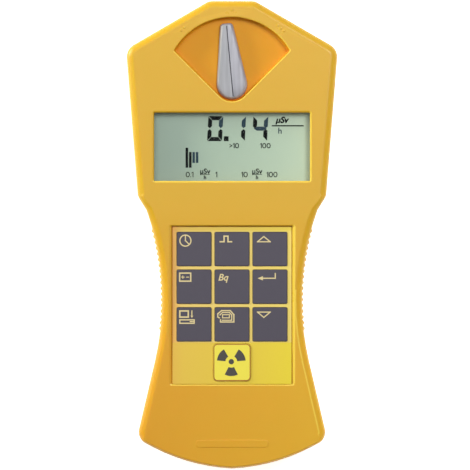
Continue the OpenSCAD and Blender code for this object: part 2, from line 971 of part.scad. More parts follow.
module high_voltage_capacitors() {
    color([0.20, 0.36, 0.62])
        for (i = [0:2])
            post(2, [-16.5 + 0.2 * i, head_corner[1] - 10.5 - 5 * i], board_base - 4.5, board_base);
}

module chip(size, at, height) {
    block(size, at, board_base - height, board_base);
}

module microcontroller() {
    color(chip_black)
        chip([12, 12], [0, 2], 1.6);
}

module memory_chip() {
    color(chip_black)
        chip([6, 8], [12.5, grip_centre[1]], 1.7);
}

module quartz_crystal() {
    color([0.78, 0.79, 0.80])
        chip([3.2, 8], [-13, grip_centre[1] + 4], 1.4);
}

module buzzer() {
    color(chip_black)
        difference() {
            post(7, [0, buzzer_y], wall, wall + 4.2);
            post(1, [0, buzzer_y], 0, wall + 1.5);
        }
}

module data_socket() {
    mouth_x = -(head_w / 2 + 0.6);
    low = board_base - 3.9;
    color(steel)
        difference() {
            translate([mouth_x, socket_y - socket_half, low])
                cube([9, 2 * socket_half, 3.9]);
            translate([mouth_x - through, socket_y - socket_half + 0.4, low + 0.4])
                cube([8, 2 * socket_half - 0.8, 3.1]);
        }
    color(chip_black)
        translate([mouth_x + 1, socket_y - 2.4, low + 1.4])
            cube([7.2, 4.8, 1]);
}

// ---------------------------------------------------------------- assembly

front_shell();
rear_shell();
window_grille();
rating_plate();
case_screws();
selector_lever();
shaft_seal();
shield_carrier();
gamma_shield();
beta_foil();
carrier_screw();
detent_spring();
display_window();
display_panel();
display_frame();
contact_strips();
keypad_overlay();
key_clock();
key_pulse();
key_up();
key_battery();
key_unit();
key_enter();
key_transfer();
key_memory();
key_down();
key_sounder();
snap_domes();
main_board();
board_screws();
counter_tube();
tube_window();
tube_insulator();
anode_wire();
anode_cap();
tube_holder();
holder_screws();
lithium_cell();
cell_holder();
cell_tabs();
transformer();
high_voltage_capacitors();
microcontroller();
memory_chip();
quartz_crystal();
buzzer();
data_socket();
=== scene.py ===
"""Looks of a handheld Geiger counter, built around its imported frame.

The frame gives every place and most sizes. Lengths are millimetres unless a name says metres,
x runs across the case, y towards the sensor end and z out of the display face.
"""

import json
import math

import bmesh
import bpy
import numpy as np
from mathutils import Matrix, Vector


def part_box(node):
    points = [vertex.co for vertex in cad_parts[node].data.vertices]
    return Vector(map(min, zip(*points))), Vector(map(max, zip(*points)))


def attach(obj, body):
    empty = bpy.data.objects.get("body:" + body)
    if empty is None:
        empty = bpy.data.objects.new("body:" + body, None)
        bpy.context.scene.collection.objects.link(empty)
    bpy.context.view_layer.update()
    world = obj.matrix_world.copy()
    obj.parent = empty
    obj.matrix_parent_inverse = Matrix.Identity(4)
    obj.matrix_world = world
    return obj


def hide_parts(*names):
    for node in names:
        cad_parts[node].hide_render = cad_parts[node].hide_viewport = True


MM = 0.001

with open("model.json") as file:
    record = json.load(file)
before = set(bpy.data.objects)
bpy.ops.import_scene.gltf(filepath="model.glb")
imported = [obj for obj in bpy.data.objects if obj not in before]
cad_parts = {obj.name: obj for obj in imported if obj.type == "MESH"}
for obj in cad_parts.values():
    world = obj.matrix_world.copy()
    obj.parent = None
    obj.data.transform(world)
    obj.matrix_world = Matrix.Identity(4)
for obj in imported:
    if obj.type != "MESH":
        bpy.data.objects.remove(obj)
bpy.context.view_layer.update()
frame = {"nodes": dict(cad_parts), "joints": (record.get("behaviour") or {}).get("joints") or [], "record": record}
NODES = frame["nodes"]

# ---- sizes read from the frame


def node_box(name):
    """Lowest and highest corner of a CAD node, in millimetres."""
    low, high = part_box(name)
    return np.array(low) / MM, np.array(high) / MM


SHELL_LOW, SHELL_HIGH = node_box("front_shell")
SPLIT_Z, FACE_Z = SHELL_LOW[2], SHELL_HIGH[2]
NOSE_Y, TIP_Y = SHELL_HIGH[1], SHELL_LOW[1]
PIVOT = np.array([j for j in frame["joints"] if j["name"] == "selector_turn"][0]["pos_m"]) / MM
OVERLAY_LOW, OVERLAY_HIGH = node_box("keypad_overlay")
LENS_LOW, LENS_HIGH = node_box("display_window")
PANEL_LOW, PANEL_HIGH = node_box("display_panel")
WINDOW_MARGIN = 1.6            # the window's clear sheet reaches this far past the opening
WINDOW = np.array([LENS_LOW[:2] + WINDOW_MARGIN, LENS_HIGH[:2] - WINDOW_MARGIN])
WINDOW_MID = WINDOW.mean(axis=0)
POCKET_FLOOR = PIVOT[2]
FOLD_Y = OVERLAY_HIGH[1] + 3   # the face starts to fall away here
GREY_KEYS = [
    "key_clock", "key_pulse", "key_up", "key_battery", "key_unit", "key_enter",
    "key_transfer", "key_memory", "key_down",
]

# ---- sizes of the finer shapes

WALL = 2.2
SEAM = 0.35                    # depth of the groove between the shells
EDGE_W, EDGE_H = 2.4, 2.3      # rounding between the faces and the sides
EDGE_TURN = math.radians(66)   # the rounding stops short of the face and leaves a soft crease
EDGE_STEPS = 8
CREASE_R = 0.32                # half width of the small rounding along the crease
RIB_PITCH, RIB_COUNT, RIB_H = 2.0, 18, 0.5
RIB_FIRST_Y = OVERLAY_HIGH[1] - 1.6
RIB_STEP = 0.2                 # distance between outline points along the ribs
POCKET_R, POCKET_HUB_R = 23.2, 6.1
LEVER_HUB_R, LEVER_TIP_R, LEVER_L = 5.3, 2.3, 21.3
LEVER_CORNER_R = 1.3           # rounding at both sides of the blunt tip
LEVER_ANGLE = math.radians(5.3)
SHAFT_STEP_Z = FACE_Z - 7.1    # the lever's shaft gets thinner below this height
LEVER_BASE = POCKET_FLOOR + 0.3
LEVER_GROOVE = 0.17            # half width of the groove along the lever's back
LEVER_TURN = np.array([[math.cos(LEVER_ANGLE), math.sin(LEVER_ANGLE)],
                       [-math.sin(LEVER_ANGLE), math.cos(LEVER_ANGLE)]])
FILM_GAPS = np.array([(0.22, 0, 0), (0.22, 0.16, 0)])   # gaps beside the film at its low and high corner
RIM_REACH, RIM_DEPTH = 1, 1.7  # how far a rim with a painted highlight may lie outside its opening and below the face
CREASE_HIGHLIGHT_Y = FOLD_Y - 25  # the crease along the right side gets a painted highlight below this height


# ---- materials


def linear(rgb, gain=1.0, lift=0.0):
    """Scene colour of an sRGB colour given as 0 to 255, after a gain and a lift."""
    out = []
    for c in rgb:
        c = min(255, c * gain + lift) / 255
        out.append(c / 12.92 if c <= 0.04045 else ((c + 0.055) / 1.055) ** 2.4)
    return (*out, 1.0)


class Nodes:
    """A short way to add and join shader nodes."""

    def __init__(self, name):
        self.material = bpy.data.materials.new(name)
        self.material.use_nodes = True
        self.tree = self.material.node_tree
        self.tree.nodes.clear()
        self.out = self.add("ShaderNodeOutputMaterial")
        self.place = self.add("ShaderNodeTexCoord").outputs["Object"]

    def add(self, kind, **values):
        """A new node; each value goes to the input or else to the setting of that name."""
        node = self.tree.nodes.new(kind)
        for key, value in values.items():
            if key in node.inputs:
                self.feed(node.inputs[key], value)
            else:
                setattr(node, key, value)
        return node

    def feed(self, socket, value):
        if isinstance(value, bpy.types.NodeSocket):
            self.tree.links.new(value, socket)
        else:
            socket.default_value = value

    def noise(self, size_mm, detail=3.0, rough=0.5):
        """Noise from 0 to 1 whose blobs are about size_mm wide."""
        node = self.add("ShaderNodeTexNoise", Vector=self.place, Scale=1 / (size_mm * MM), Detail=detail,
                        Roughness=rough)
        return node.outputs["Fac"]

    def drawn_lines(self, density, turn=0.0):
        """Noise stretched into lines; density is per metre along each axis."""
        place = self.add("ShaderNodeMapping", Vector=self.place, Rotation=(0, 0, turn), Scale=density)
        return self.add("ShaderNodeTexNoise", Vector=place.outputs[0], Scale=1.0, Detail=2.0).outputs["Fac"]

    def span(self, value, low, high, to_low=0.0, to_high=1.0):
        """Carries the range from low to high over to another range."""
        ends = {"From Min": low, "From Max": high, "To Min": to_low, "To Max": to_high}
        return self.add("ShaderNodeMapRange", Value=value, **ends).outputs["Result"]

    def along(self, axis, low_mm, high_mm, to_low=0.0, to_high=1.0):
        """A value that changes between two places on an axis."""
        place = self.add("ShaderNodeSeparateXYZ", Vector=self.place).outputs[axis]
        return self.span(place, low_mm * MM, high_mm * MM, to_low, to_high)

    def math(self, operation, a, b):
        node = self.add("ShaderNodeMath", operation=operation)
        self.feed(node.inputs[0], a)
        self.feed(node.inputs[1], b)
        return node.outputs[0]

    def times(self, a, b):
        return self.math("MULTIPLY", a, b)

    def mix(self, share, a, b):
        return self.add("ShaderNodeMix", data_type="RGBA", Factor=share, A=a, B=b).outputs["Result"]

    def bump(self, height, depth_mm):
        return self.add("ShaderNodeBump", Distance=depth_mm * MM, Height=height).outputs["Normal"]

    def surface(self, **values):
        """The finished material with one principled shader; underscores stand for spaces."""
        shader = self.add("ShaderNodeBsdfPrincipled", **{k.replace("_", " "): v for k, v in values.items()})
        self.feed(self.out.inputs["Surface"], shader.outputs["BSDF"])
        return self.material

    def blend(self, share, a, b):
        """The finished material with two shaders blended."""
        node = self.add("ShaderNodeMixShader")
        for socket, value in zip(node.inputs, (share, a.outputs[0], b.outputs[0])):
            self.feed(socket, value)
        self.feed(self.out.inputs["Surface"], node.outputs[0])
        return self.material

    def edges(self):
        """Near 1 on convex edges and 0 on flats."""
        return self.span(self.add("ShaderNodeNewGeometry").outputs["Pointiness"], 0.52, 0.60)

    def hollows(self, reach_mm, alone=True):
        """Near 1 in narrow corners where shade falls, 0 in the open, as a mask for painted shade; alone leaves
        other pieces out.
        """
        node = self.add("ShaderNodeAmbientOcclusion", samples=4, only_local=alone, Distance=reach_mm * MM)
        return self.span(node.outputs["AO"], 0.75, 0.25)


def moulded(name, base, tint, shade_colour=None, rough=0.42, grain_mm=0.35, grain_depth=0.012, sheen=0.35,
            sss=0.0, metal_share=0.0, painted_base_shading=None, streaks=0.0, alone=True, worn=0.18):
    """Moulded plastic: spark-eroded grain, slow colour drift, polished edges, and painted shade that gives hollows
    a deeper colour.

    The base's colours at its left and its right, which the head's colour drifts to, are painted shading: oranger
    on the left, brighter on the right.
    """
    m = Nodes(name)
    colour = linear(base)
    # painted shading: the base darker and oranger towards its left, brighter towards its right
    if painted_base_shading:
        base_shading = m.mix(m.along("X", -30, 30), linear(painted_base_shading[0]), linear(painted_base_shading[1]))
        colour = m.mix(m.along("Y", 14, -45), colour, base_shading)
    colour = m.mix(m.times(m.noise(26, 2), 0.4), colour, m.mix(0.5, colour, linear(tint)))
    colour = m.mix(m.times(m.span(m.noise(7, 4), 0.3, 0.7), 0.05), colour, linear(base, 0.93))
    if streaks:
        lines = m.drawn_lines((1000, 35, 100), -LEVER_ANGLE)
        colour = m.mix(m.span(lines, 0.35, 0.65, 0.0, streaks), colour, linear(base, 1.3))
    colour = m.mix(m.times(m.edges(), worn), colour, linear(base, 1.07, 6))
    # painted shade: hollows and corners where shade falls take a deeper colour
    shaded, reach, share = (linear(shade_colour), 2.4, 0.6) if shade_colour else (linear(tint, 0.72), 1.5, 0.3)
    colour = m.mix(m.times(m.hollows(reach, alone), share), colour, shaded)
    gloss = m.span(m.noise(1.7, 3), 0.25, 0.75, rough - 0.05, rough + 0.07)
    gloss = m.math("SUBTRACT", gloss, m.times(m.edges(), worn * 0.45))
    grain = m.math("ADD", m.noise(grain_mm, 2, 0.6), m.times(m.noise(grain_mm * 5, 2), 0.4))
    return m.surface(Base_Color=colour, Roughness=gloss, Normal=m.bump(grain, grain_depth),
                     Specular_IOR_Level=sheen, Metallic=metal_share, Subsurface_Weight=sss,
                     Subsurface_Radius=(1.0, 0.35, 0.08), Subsurface_Scale=1.5 * MM)


def printed(name, ink, rough=0.5, depth=0.004, sheen=0.5):
    """Screen-printed ink: even colour with a faint mottle and slightly rough surface."""
    m = Nodes(name)
    colour = m.mix(m.times(m.noise(0.5, 3), 0.12), linear(ink), linear(ink, 0.88))
    gloss = m.span(m.noise(0.9), 0.3, 0.7, rough - 0.06, rough + 0.06)
    return m.surface(Base_Color=colour, Roughness=gloss, Normal=m.bump(m.noise(0.25, 2), depth),
                     Specular_IOR_Level=sheen)


def film_colour_and_painted_light(name):
    """Keypad film: painted shading from orange at its left margin to brighter yellow at its right, painted shade
    around the keys, a painted pale sheen between the keys and a painted shadow along the left margin.
    """
    m = Nodes(name)
    across = m.along("X", OVERLAY_LOW[0], OVERLAY_HIGH[0])
    ramp = m.add("ShaderNodeValToRGB", Fac=across)
    # painted shading: orange at the left, brighter yellow at the right
    shading_stops = ((0.0, (238, 192, 74)), (0.1, (239, 201, 72)), (0.6, (240, 209, 62)), (1.0, (246, 222, 50)))
    while len(ramp.color_ramp.elements) < len(shading_stops):
        ramp.color_ramp.elements.new(0.5)
    for element, (place, rgb) in zip(ramp.color_ramp.elements, shading_stops):
        element.position = place
        element.color = linear(rgb)
    colour = m.mix(m.times(m.noise(0.8, 3), 0.1), ramp.outputs["Color"], linear((214, 176, 60)))
    # painted shade: orange around the keys, where shade falls
    colour = m.mix(m.times(m.hollows(1.2, alone=False), 0.35), colour, linear((216, 142, 52)))
    # painted highlight: a paler, whiter sheen between the keys
    pale = m.along("Y", node_box("key_sounder")[1][1], node_box("key_memory")[0][1], 0, 0.45)
    top_row = node_box("key_clock")[1][1]
    between = m.along("Y", top_row - 0.2, top_row + 0.5, 1.0, 0.25)
    colour = m.mix(m.times(pale, between), colour, linear((255, 226, 150)))
    # painted shadow of the recess's left wall along the film's left margin
    margin = m.times(m.span(across, 0.085, 0.0), m.times(pale, 2.0))
    colour = m.mix(margin, colour, linear((238, 170, 74)))
    return m.surface(Base_Color=colour, Roughness=m.span(m.noise(0.9), 0.3, 0.7, 0.3, 0.4),
                     Normal=m.bump(m.noise(0.25, 2), 0.004), Specular_IOR_Level=0.5)


def metal(name, base, rough=0.3, brushed_axis=0, dull=0.0):
    """Metal with fine drawn lines along one axis and faint stains."""
    m = Nodes(name)
    density = [3200.0] * 3
    density[brushed_axis] = 90.0
    lines = m.drawn_lines(density)
    stain = m.span(m.noise(4, 4), 0.35, 0.75)
    colour = m.mix(m.times(stain, 0.25 + dull), linear(base), linear(base, 0.7))
    gloss = m.span(lines, 0.3, 0.7, rough - 0.08, rough + 0.12)
    return m.surface(Base_Color=colour, Metallic=1.0, Roughness=gloss, Normal=m.bump(lines, 0.004))


def clear_sheet(name):
    """Clear window that lets light straight through and reflects a little of the room."""
    m = Nodes(name)
    gloss = m.add("ShaderNodeBsdfGlossy", Roughness=m.span(m.noise(9), 0.3, 0.7, 0.05, 0.12))
    through = m.add("ShaderNodeBsdfTransparent", Color=linear((247, 250, 247)))
    glancing = m.add("ShaderNodeFresnel", IOR=1.38).outputs[0]
    return m.blend(m.times(glancing, 0.12), through, gloss)


def display_glass(name):
    """Reflective display: grey-green, with painted shading that makes it darker towards its left end, and a satin
    polariser.
    """
    m = Nodes(name)
    across = m.along("X", PANEL_LOW[0], PANEL_HIGH[0])
    # painted shading: darker towards the left end
    colour = m.mix(across, linear((176, 191, 186)), linear((220, 231, 216)))
    colour = m.mix(m.times(m.noise(0.25, 2), 0.05), colour, linear((150, 160, 150)))
    return m.surface(Base_Color=colour, Roughness=m.span(m.noise(3), 0.3, 0.7, 0.34, 0.42),
                     Normal=m.bump(m.noise(0.12, 1), 0.002), Specular_IOR_Level=0.3)


def board_laminate(name):
    """Solder mask over copper tracks, from a fine grid of lines and a weave."""
    m = Nodes(name)
    weave = m.add("ShaderNodeTexWave", Vector=m.place, Scale=900.0, Distortion=2.0, Detail=1.0).outputs["Fac"]
    colour = m.mix(m.span(m.noise(2.2, 1), 0.52, 0.56), linear((24, 92, 52)), linear((46, 128, 70)))
    return m.surface(Base_Color=colour, Roughness=m.span(weave, 0, 1, 0.3, 0.45), Normal=m.bump(weave, 0.01))


# the case's yellow, its tint, and the colour of its painted shade in hollows
CASE_YELLOW, CASE_TINT, CASE_SHADE = (224, 175, 34), (222, 166, 30), (226, 92, 16)
# painted shading of the base: its colour at the left and at the right
BASE_PAINTED_SHADING = (233, 166, 30), (238, 183, 38)
# painted shade: the pocket's floor and walls darker and oranger than the face
POCKET_SHADE, POCKET_SHADE_TINT = (226, 156, 26), (222, 150, 24)
MATERIALS = [
    moulded("case_plastic", CASE_YELLOW, CASE_TINT, shade_colour=CASE_SHADE, rough=0.38, sheen=0.5, sss=0.15,
            painted_base_shading=BASE_PAINTED_SHADING),
    film_colour_and_painted_light("key_film"),
    moulded("key_grey", (84, 79, 92), (77, 73, 88), rough=0.5, grain_mm=0.22, grain_depth=0.016, worn=0),
    printed("sign_yellow", (252, 236, 78), rough=0.4),
    moulded("lever_grey", (160, 160, 168), (150, 150, 160), rough=0.44, grain_depth=0.006, metal_share=0.15,
            streaks=0.35),
    clear_sheet("lens"),
    display_glass("display"),
    moulded("white_plastic", (232, 232, 228), (220, 220, 216)),
    moulded("black_plastic", (34, 34, 36), (28, 28, 30), rough=0.5),
    moulded("rubber", (26, 26, 28), (20, 20, 22), rough=0.7, grain_mm=0.2, grain_depth=0.02),
    printed("contact_rubber", (214, 160, 170), rough=0.6),
    metal("steel", (186, 188, 192)),
    metal("aluminium", (196, 198, 202), rough=0.4),
    metal("brass", (206, 170, 88), brushed_axis=1),
    board_laminate("board"),
    printed("mica", (196, 176, 132), rough=0.2),
    moulded("ceramic", (232, 230, 222), (222, 220, 212), rough=0.3),
    printed("cell_sleeve", (58, 104, 88), rough=0.35),
    metal("ferrite", (92, 70, 58), rough=0.5, dull=0.3),
    printed("capacitor", (48, 88, 156), rough=0.3),
]
MATERIALS = {material.name.split(".")[0]: material for material in MATERIALS}     # by slot
# painted shade in the pocket, deeper near the lever where its shadow falls
POCKET_SHADED_PLASTIC = moulded("pocket_painted_shade", POCKET_SHADE, POCKET_SHADE_TINT, shade_colour=CASE_SHADE, rough=0.5, sheen=0.25,
                         sss=0.15, alone=False)
# painted highlight: a lighter yellow on rims and on the right crease, where they face the light
RIM_HIGHLIGHT = moulded("rim_painted_highlight", (252, 214, 74), (250, 208, 68), rough=0.3, sheen=0.5)
INK_CREAM = printed("ink_cream", (232, 212, 156))
INK_OUTLINE = printed("ink_outline", (176, 98, 30))
INK_DARK = printed("ink_dark", (74, 70, 66))
SEGMENT_DARK, SEGMENT_MID, SEGMENT_FINE = [
    printed("segment_" + name, ink, rough=0.6, depth=0.001, sheen=0.1)
    for name, ink in (("dark", (8, 13, 18)), ("mid", (58, 76, 94)), ("fine", (16, 20, 18)))
]
GROOVE_DARK = printed("groove_dark", (78, 78, 88))


# ---- mesh helpers


def mesh_object(name, points, faces):
    mesh = bpy.data.meshes.new(name)
    mesh.from_pydata((np.asarray(points, float) * MM).tolist(), [], [list(map(int, f)) for f in faces])
    mesh.validate()
    mesh.update()
    return add_object(name, mesh)


def add_object(name, data):
    piece = bpy.data.objects.new(name, data)
    bpy.context.scene.collection.objects.link(piece)
    return piece


def dress(piece, body, slot, material=None, smooth=35):
    """Gives a new piece its material, its shading and the body it rides on."""
    coat(piece, material or MATERIALS[slot])
    shade(piece, smooth)
    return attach(piece, body)


def coat(piece, material):
    piece.data.materials.clear()
    piece.data.materials.append(material)


def shade(piece, smooth):
    piece.data.shade_smooth()
    piece.data.set_sharp_from_angle(angle=math.radians(smooth))
    weighted = piece.modifiers.new("flat_faces_stay_flat", "WEIGHTED_NORMAL")
    weighted.keep_sharp = True


def ring_faces(rings, count, closed=True):
    """Quads that join rings of count points each, in order."""
    quads = []
    for k in range(rings - 1):
        for i in range(count if closed else count - 1):
            a, b = k * count + i, k * count + (i + 1) % count
            quads.append((a, b, b + count, a + count))
    return quads


def loft(name, rings, top=None):
    """Closed solid through rings of equal length; top lists the faces on the last ring if not one."""
    count = len(rings[0])
    points = np.concatenate(rings)
    first = len(points) - count
    faces = ring_faces(len(rings), count) + [range(count - 1, -1, -1)]
    faces += [[first + i for i in face] for face in top or [range(count)]]
    piece = mesh_object(name, points, faces)
    face_outward(piece)
    return piece


def face_outward(piece):
    """Turns the mesh inside out if its volume comes out negative."""
    grid = bmesh.new()
    grid.from_mesh(piece.data)
    if grid.calc_volume(signed=True) < 0:
        piece.data.flip_normals()
    grid.free()


def at_height(loop, z):
    """2-D loop as 3-D points; z is one height or one per point."""
    return np.column_stack([loop, np.broadcast_to(z, len(loop))])


def boolean(piece, tools, operation="DIFFERENCE"):
    """Applies exact booleans and deletes the tools."""
    for tool in tools:
        modifier = piece.modifiers.new("cut", "BOOLEAN")
        modifier.operation = operation
        modifier.solver = "EXACT"
        modifier.object = tool
    result = evaluated_mesh(piece)
    piece.modifiers.clear()
    piece.data = result
    for tool in tools:
        bpy.data.objects.remove(tool)


def evaluated_mesh(piece):
    """Mesh of a piece as its modifiers or its font leave it."""
    bpy.context.view_layer.update()
    return bpy.data.meshes.new_from_object(piece.evaluated_get(bpy.context.evaluated_depsgraph_get()))


def joined(name, pieces):
    """One object from several meshes."""
    points, faces, base = [], [], 0
    for p in pieces:
        points += [tuple(v.co / MM) for v in p.data.vertices]
        faces += [[base + i for i in f.vertices] for f in p.data.polygons]
        base += len(p.data.vertices)
        bpy.data.objects.remove(p)
    return mesh_object(name, points, faces)


def rounded_box(low, high, radius, steps=4):
    """Loop of a rectangle with rounded corners, anticlockwise."""
    left, right, bottom, top = low[0] + radius, high[0] - radius, low[1] + radius, high[1] - radius
    corners = []
    for quarter, middle in enumerate([(right, top), (left, top), (left, bottom), (right, bottom)]):
        corners.append(arc(middle, radius, np.linspace(quarter, quarter + 1, steps + 1) * math.pi / 2))
    return np.concatenate(corners)


def box_solid(name, low, high, radius, profile):
    """Solid with a rounded rectangle for a plan; profile lists (growth, height)."""
    low, high = np.array(low[:2]), np.array(high[:2])
    rings = [at_height(rounded_box(low - g, high + g, max(radius + g, 0.02)), z) for g, z in profile]
    return loft(name, rings)


def round_solid(name, centre, profile, count=32):
    """Solid of turned shape; profile lists (radius, height)."""
    return loft(name, [at_height(circle(centre, r, count), z) for r, z in profile])


def paint(piece, material, chosen):
    """Gives the faces that chosen(middle, normal) picks a material of their own."""
    piece.data.materials.append(material)
    for face in piece.data.polygons:
        if chosen(np.array(face.center) / MM, face.normal):
            face.material_index = len(piece.data.materials) - 1


def arc(centre, r, turns):
    return np.column_stack([centre[0] + r * np.cos(turns), centre[1] + r * np.sin(turns)])


def circle(centre, r, count=32):
    return arc(centre, r, np.arange(count) * 2 * math.pi / count)


def round_over(width, height, start, steps=5):
    """Quarter round from a wall at growth 0 up to a face as (growth, height); a width below 0 goes inward."""
    turns = [math.pi / 2 * i / steps for i in range(steps + 1)]
    return [(width * (1 - math.cos(a)), start + height * math.sin(a)) for a in turns]


# ---- plan of the case


def case_plan():
    """Outline of the case, clockwise from the middle of the nose, the same on both sides.

    The right half is read from the ring of points just above the parting line.
    """
    points = np.array([v.co for v in NODES["front_shell"].data.vertices]) / MM
    ring = points[(points[:, 2] > SPLIT_Z + 0.2) & (points[:, 2] < SPLIT_Z + 0.5)][:, :2]
    ring = np.unique(ring.round(3), axis=0)
    ring = ring[ring[:, 0] > 0.1]
    ring = ring[np.argsort(-np.arctan2(ring[:, 1], ring[:, 0]))]
    ring = np.vstack([(0, NOSE_Y), ring, (0, TIP_Y)])
    half = []
    for a, b in zip(ring[:-1], ring[1:]):
        ribbed = RIB_FIRST_Y + 2 > (a[1] + b[1]) / 2 > RIB_FIRST_Y - RIB_PITCH * RIB_COUNT - 1
        step = RIB_STEP if ribbed else 2.5
        parts = max(1, round(np.linalg.norm(b - a) / step))
        half += [a + (b - a) * i / parts for i in range(parts)]
    half.append(ring[-1])
    return np.array(half + [(-x, y) for x, y in half[-2:0:-1]])


def inset(loop, distance):
    """Clockwise loop moved inward by a distance, or by one distance per point."""
    def inward(a, b):
        d = (b - a) / np.linalg.norm(b - a, axis=1)[:, None]
        return np.column_stack([d[:, 1], -d[:, 0]])

    before = inward(np.roll(loop, 1, axis=0), loop)
    after = inward(loop, np.roll(loop, -1, axis=0))
    share = 1 + (before * after).sum(axis=1)
    return loop + (before + after) * (np.broadcast_to(distance, len(loop)) / share)[:, None]


def rounding_share():
    """Width of the rounding at each outline point: full at the sides, narrow at the curved end."""
    ahead, behind = np.roll(PLAN, -1, axis=0), np.roll(PLAN, 1, axis=0)
    along = (ahead - behind) / np.linalg.norm(ahead - behind, axis=1)[:, None]
    down = ((along[:, 0] * -1) - 0.25).clip(0, 0.5) / 0.5
    return 1 - 0.62 * down * down * (3 - 2 * down)


PLAN = case_plan()
FOLD = int(np.argmin(abs(PLAN[: len(PLAN) // 2, 1] - FOLD_Y)))     # outline point where the face folds
ROUNDING_SHARE = rounding_share()
FALL = (FACE_Z - OVERLAY_HIGH[2]) / (FOLD_Y - OVERLAY_LOW[1])     # slope of the face below the fold


def rib_height(y):
    """How far the grip ribs stand out at height y of the outline, from 0 to 1."""
    wave = 0.5 + 0.5 * np.cos(2 * math.pi * (RIB_FIRST_Y - y) / RIB_PITCH)
    inside = (y < RIB_FIRST_Y + RIB_PITCH / 2) & (y > RIB_FIRST_Y - RIB_PITCH * (RIB_COUNT - 0.5))
    return np.where(inside, wave ** 0.8, 0.0)


def case_ring(d, z, ribs=0.0, falls=False, rounding=False):
    """Ring of the case; a ring that falls follows the slope of the grip's face."""
    share = ROUNDING_SHARE if rounding else 1.0
    loop = inset(PLAN, d * share - ribs * RIB_H * rib_height(PLAN[:, 1]))
    drop = FALL * (loop[FOLD][1] - loop[:, 1]).clip(0) if falls else 0
    return at_height(loop, z - drop)


def case_solid(name, rings):
    """Solid of a shell; its last ring is closed by two faces that meet at the grip's fold."""
    mirror = len(PLAN) - FOLD
    return loft(name, rings, [[*range(mirror, len(PLAN)), *range(FOLD + 1)], range(FOLD, mirror + 1)])


def edge_round():
    """(inset, depth below the face) from the side over the crease onto the face."""
    turns = [EDGE_TURN * i / EDGE_STEPS for i in range(EDGE_STEPS + 1)]
    flank = [(EDGE_W * (1 - math.cos(a)) / (1 - math.cos(EDGE_TURN)),
              EDGE_H * (1 - math.sin(a) / math.sin(EDGE_TURN))) for a in turns]
    slope = EDGE_H / EDGE_W * (1 - math.cos(EDGE_TURN)) / math.sin(EDGE_TURN) / math.tan(EDGE_TURN)
    flank = [p for p in flank if p[0] < EDGE_W - CREASE_R - 0.05]
    steps = 5
    for i in range(steps + 1):
        t = i / steps
        flank.append((EDGE_W - CREASE_R * (1 - 2 * t), (1 - t) ** 2 * CREASE_R * slope))
    return flank


# ---- case shells


def pocket_plan(g):
    """Loop of the selector pocket grown by g: a hub arc, two straight sides and the outer arc."""
    r, outer = POCKET_HUB_R + g, POCKET_R + g
    half = math.radians(45) + math.asin(r / outer)
    hub = arc((0, 0), r, np.radians(np.linspace(225, 315, 17)))
    rim = arc((0, 0), outer, math.pi / 2 + np.linspace(-half, half, 49))
    return soften_corners(np.vstack([hub, rim]), 0.5) + PIVOT[:2]


def soften_corners(loop, r):
    """Replaces corners sharper than 50 degrees of turn by short curves."""
    out = []
    n = len(loop)
    for i in range(n):
        a, b, c = loop[i - 1], loop[i], loop[(i + 1) % n]
        u, v = (a - b) / np.linalg.norm(a - b), (c - b) / np.linalg.norm(c - b)
        if np.dot(u, v) > -math.cos(math.radians(50)):
            p, q = b + u * r, b + v * r
            for t in np.linspace(0, 1, 6):
                out.append((1 - t) ** 2 * p + 2 * t * (1 - t) * b + t * t * q)
        else:
            out.append(b)
    return np.array(out)


def pocket_tool():
    """The pocket: a hollow fillet along its floor and a small rounding along its rim."""
    fillet = [(-0.7, 0), (-0.58, 0.03), (-0.3, 0.2), (-0.1, 0.5), (0, 0.95)]
    profile = [(g, POCKET_FLOOR + lift) for g, lift in fillet] + round_over(0.35, 0.4, FACE_Z - 0.4)
    profile += [(0.35, FACE_Z + 2)]
    return loft("tool", [at_height(pocket_plan(g), z) for g, z in profile])


def window_tools():
    rim_w, rim_h = 0.75, 0.6
    profile = [(0, LENS_HIGH[2] - 1), (0, FACE_Z - rim_h), *round_over(rim_w, rim_h, FACE_Z - rim_h)]
    opening = box_solid("tool", *WINDOW, 0.3, profile + [(rim_w, FACE_Z + 2)])
    seat = box_solid("tool", LENS_LOW, LENS_HIGH, 0.3, [(0.1, LENS_LOW[2] - 3), (0.1, LENS_HIGH[2])])
    return [seat, opening]


def key_wells(profile, corner=0.3, sounder_corner=0.3):
    """One tool with an opening for each key."""
    wells = []
    for name in [*GREY_KEYS, "key_sounder"]:
        radius = sounder_corner if name == "key_sounder" else corner
        wells.append(box_solid("tool", *cap_box(name), radius, profile))
    return joined("tool", wells)


def keypad_tools():
    """Recess for the film, with a rounded rim that follows the falling face, and the wells of the keys."""
    low, high = OVERLAY_LOW, OVERLAY_HIGH
    rim_w, play = 1.35, 0.05
    rings = [at_height(rounded_box(low[:2] - play, high[:2] + play, 0.3), low[2] - 0.1)]
    for turn in np.linspace(0, math.pi / 2, 9):
        grow = play + rim_w * (1 - math.cos(turn)) * np.array([1, 0.5])
        loop = rounded_box(low[:2] - grow, high[:2] + grow, 0.3 + 0.5 * grow[0])
        face = FACE_Z - FALL * (FOLD_Y - loop[:, 1])
        rim_h = 0.35 + 0.45 * (face - high[2]) / (FACE_Z - high[2])
        rings.append(at_height(loop, face - rim_h * (1 - math.sin(turn))))
    rings.append(at_height(loop, FACE_Z + 2))
    return [loft("tool", rings), key_wells([(0.1, SPLIT_Z), (0.1, FACE_Z + 1)])]


def cap_box(name):
    """Box of a key's visible cap: the key's box less its hidden flange."""
    low, high = node_box(name)
    flange = np.array([0.35, 0.35, 0])
    return low + flange, high - flange


def grille_tool():
    """Square opening for the grille at the nose."""
    low, high = node_box("window_grille")
    half, mid = 6.25, (low[2] + high[2]) / 2
    walls = [(0, mid - half), (0, mid + half)]
    return box_solid("tool", (-half, NOSE_Y - 3.5), (half, NOSE_Y + 3), 0.05, walls)


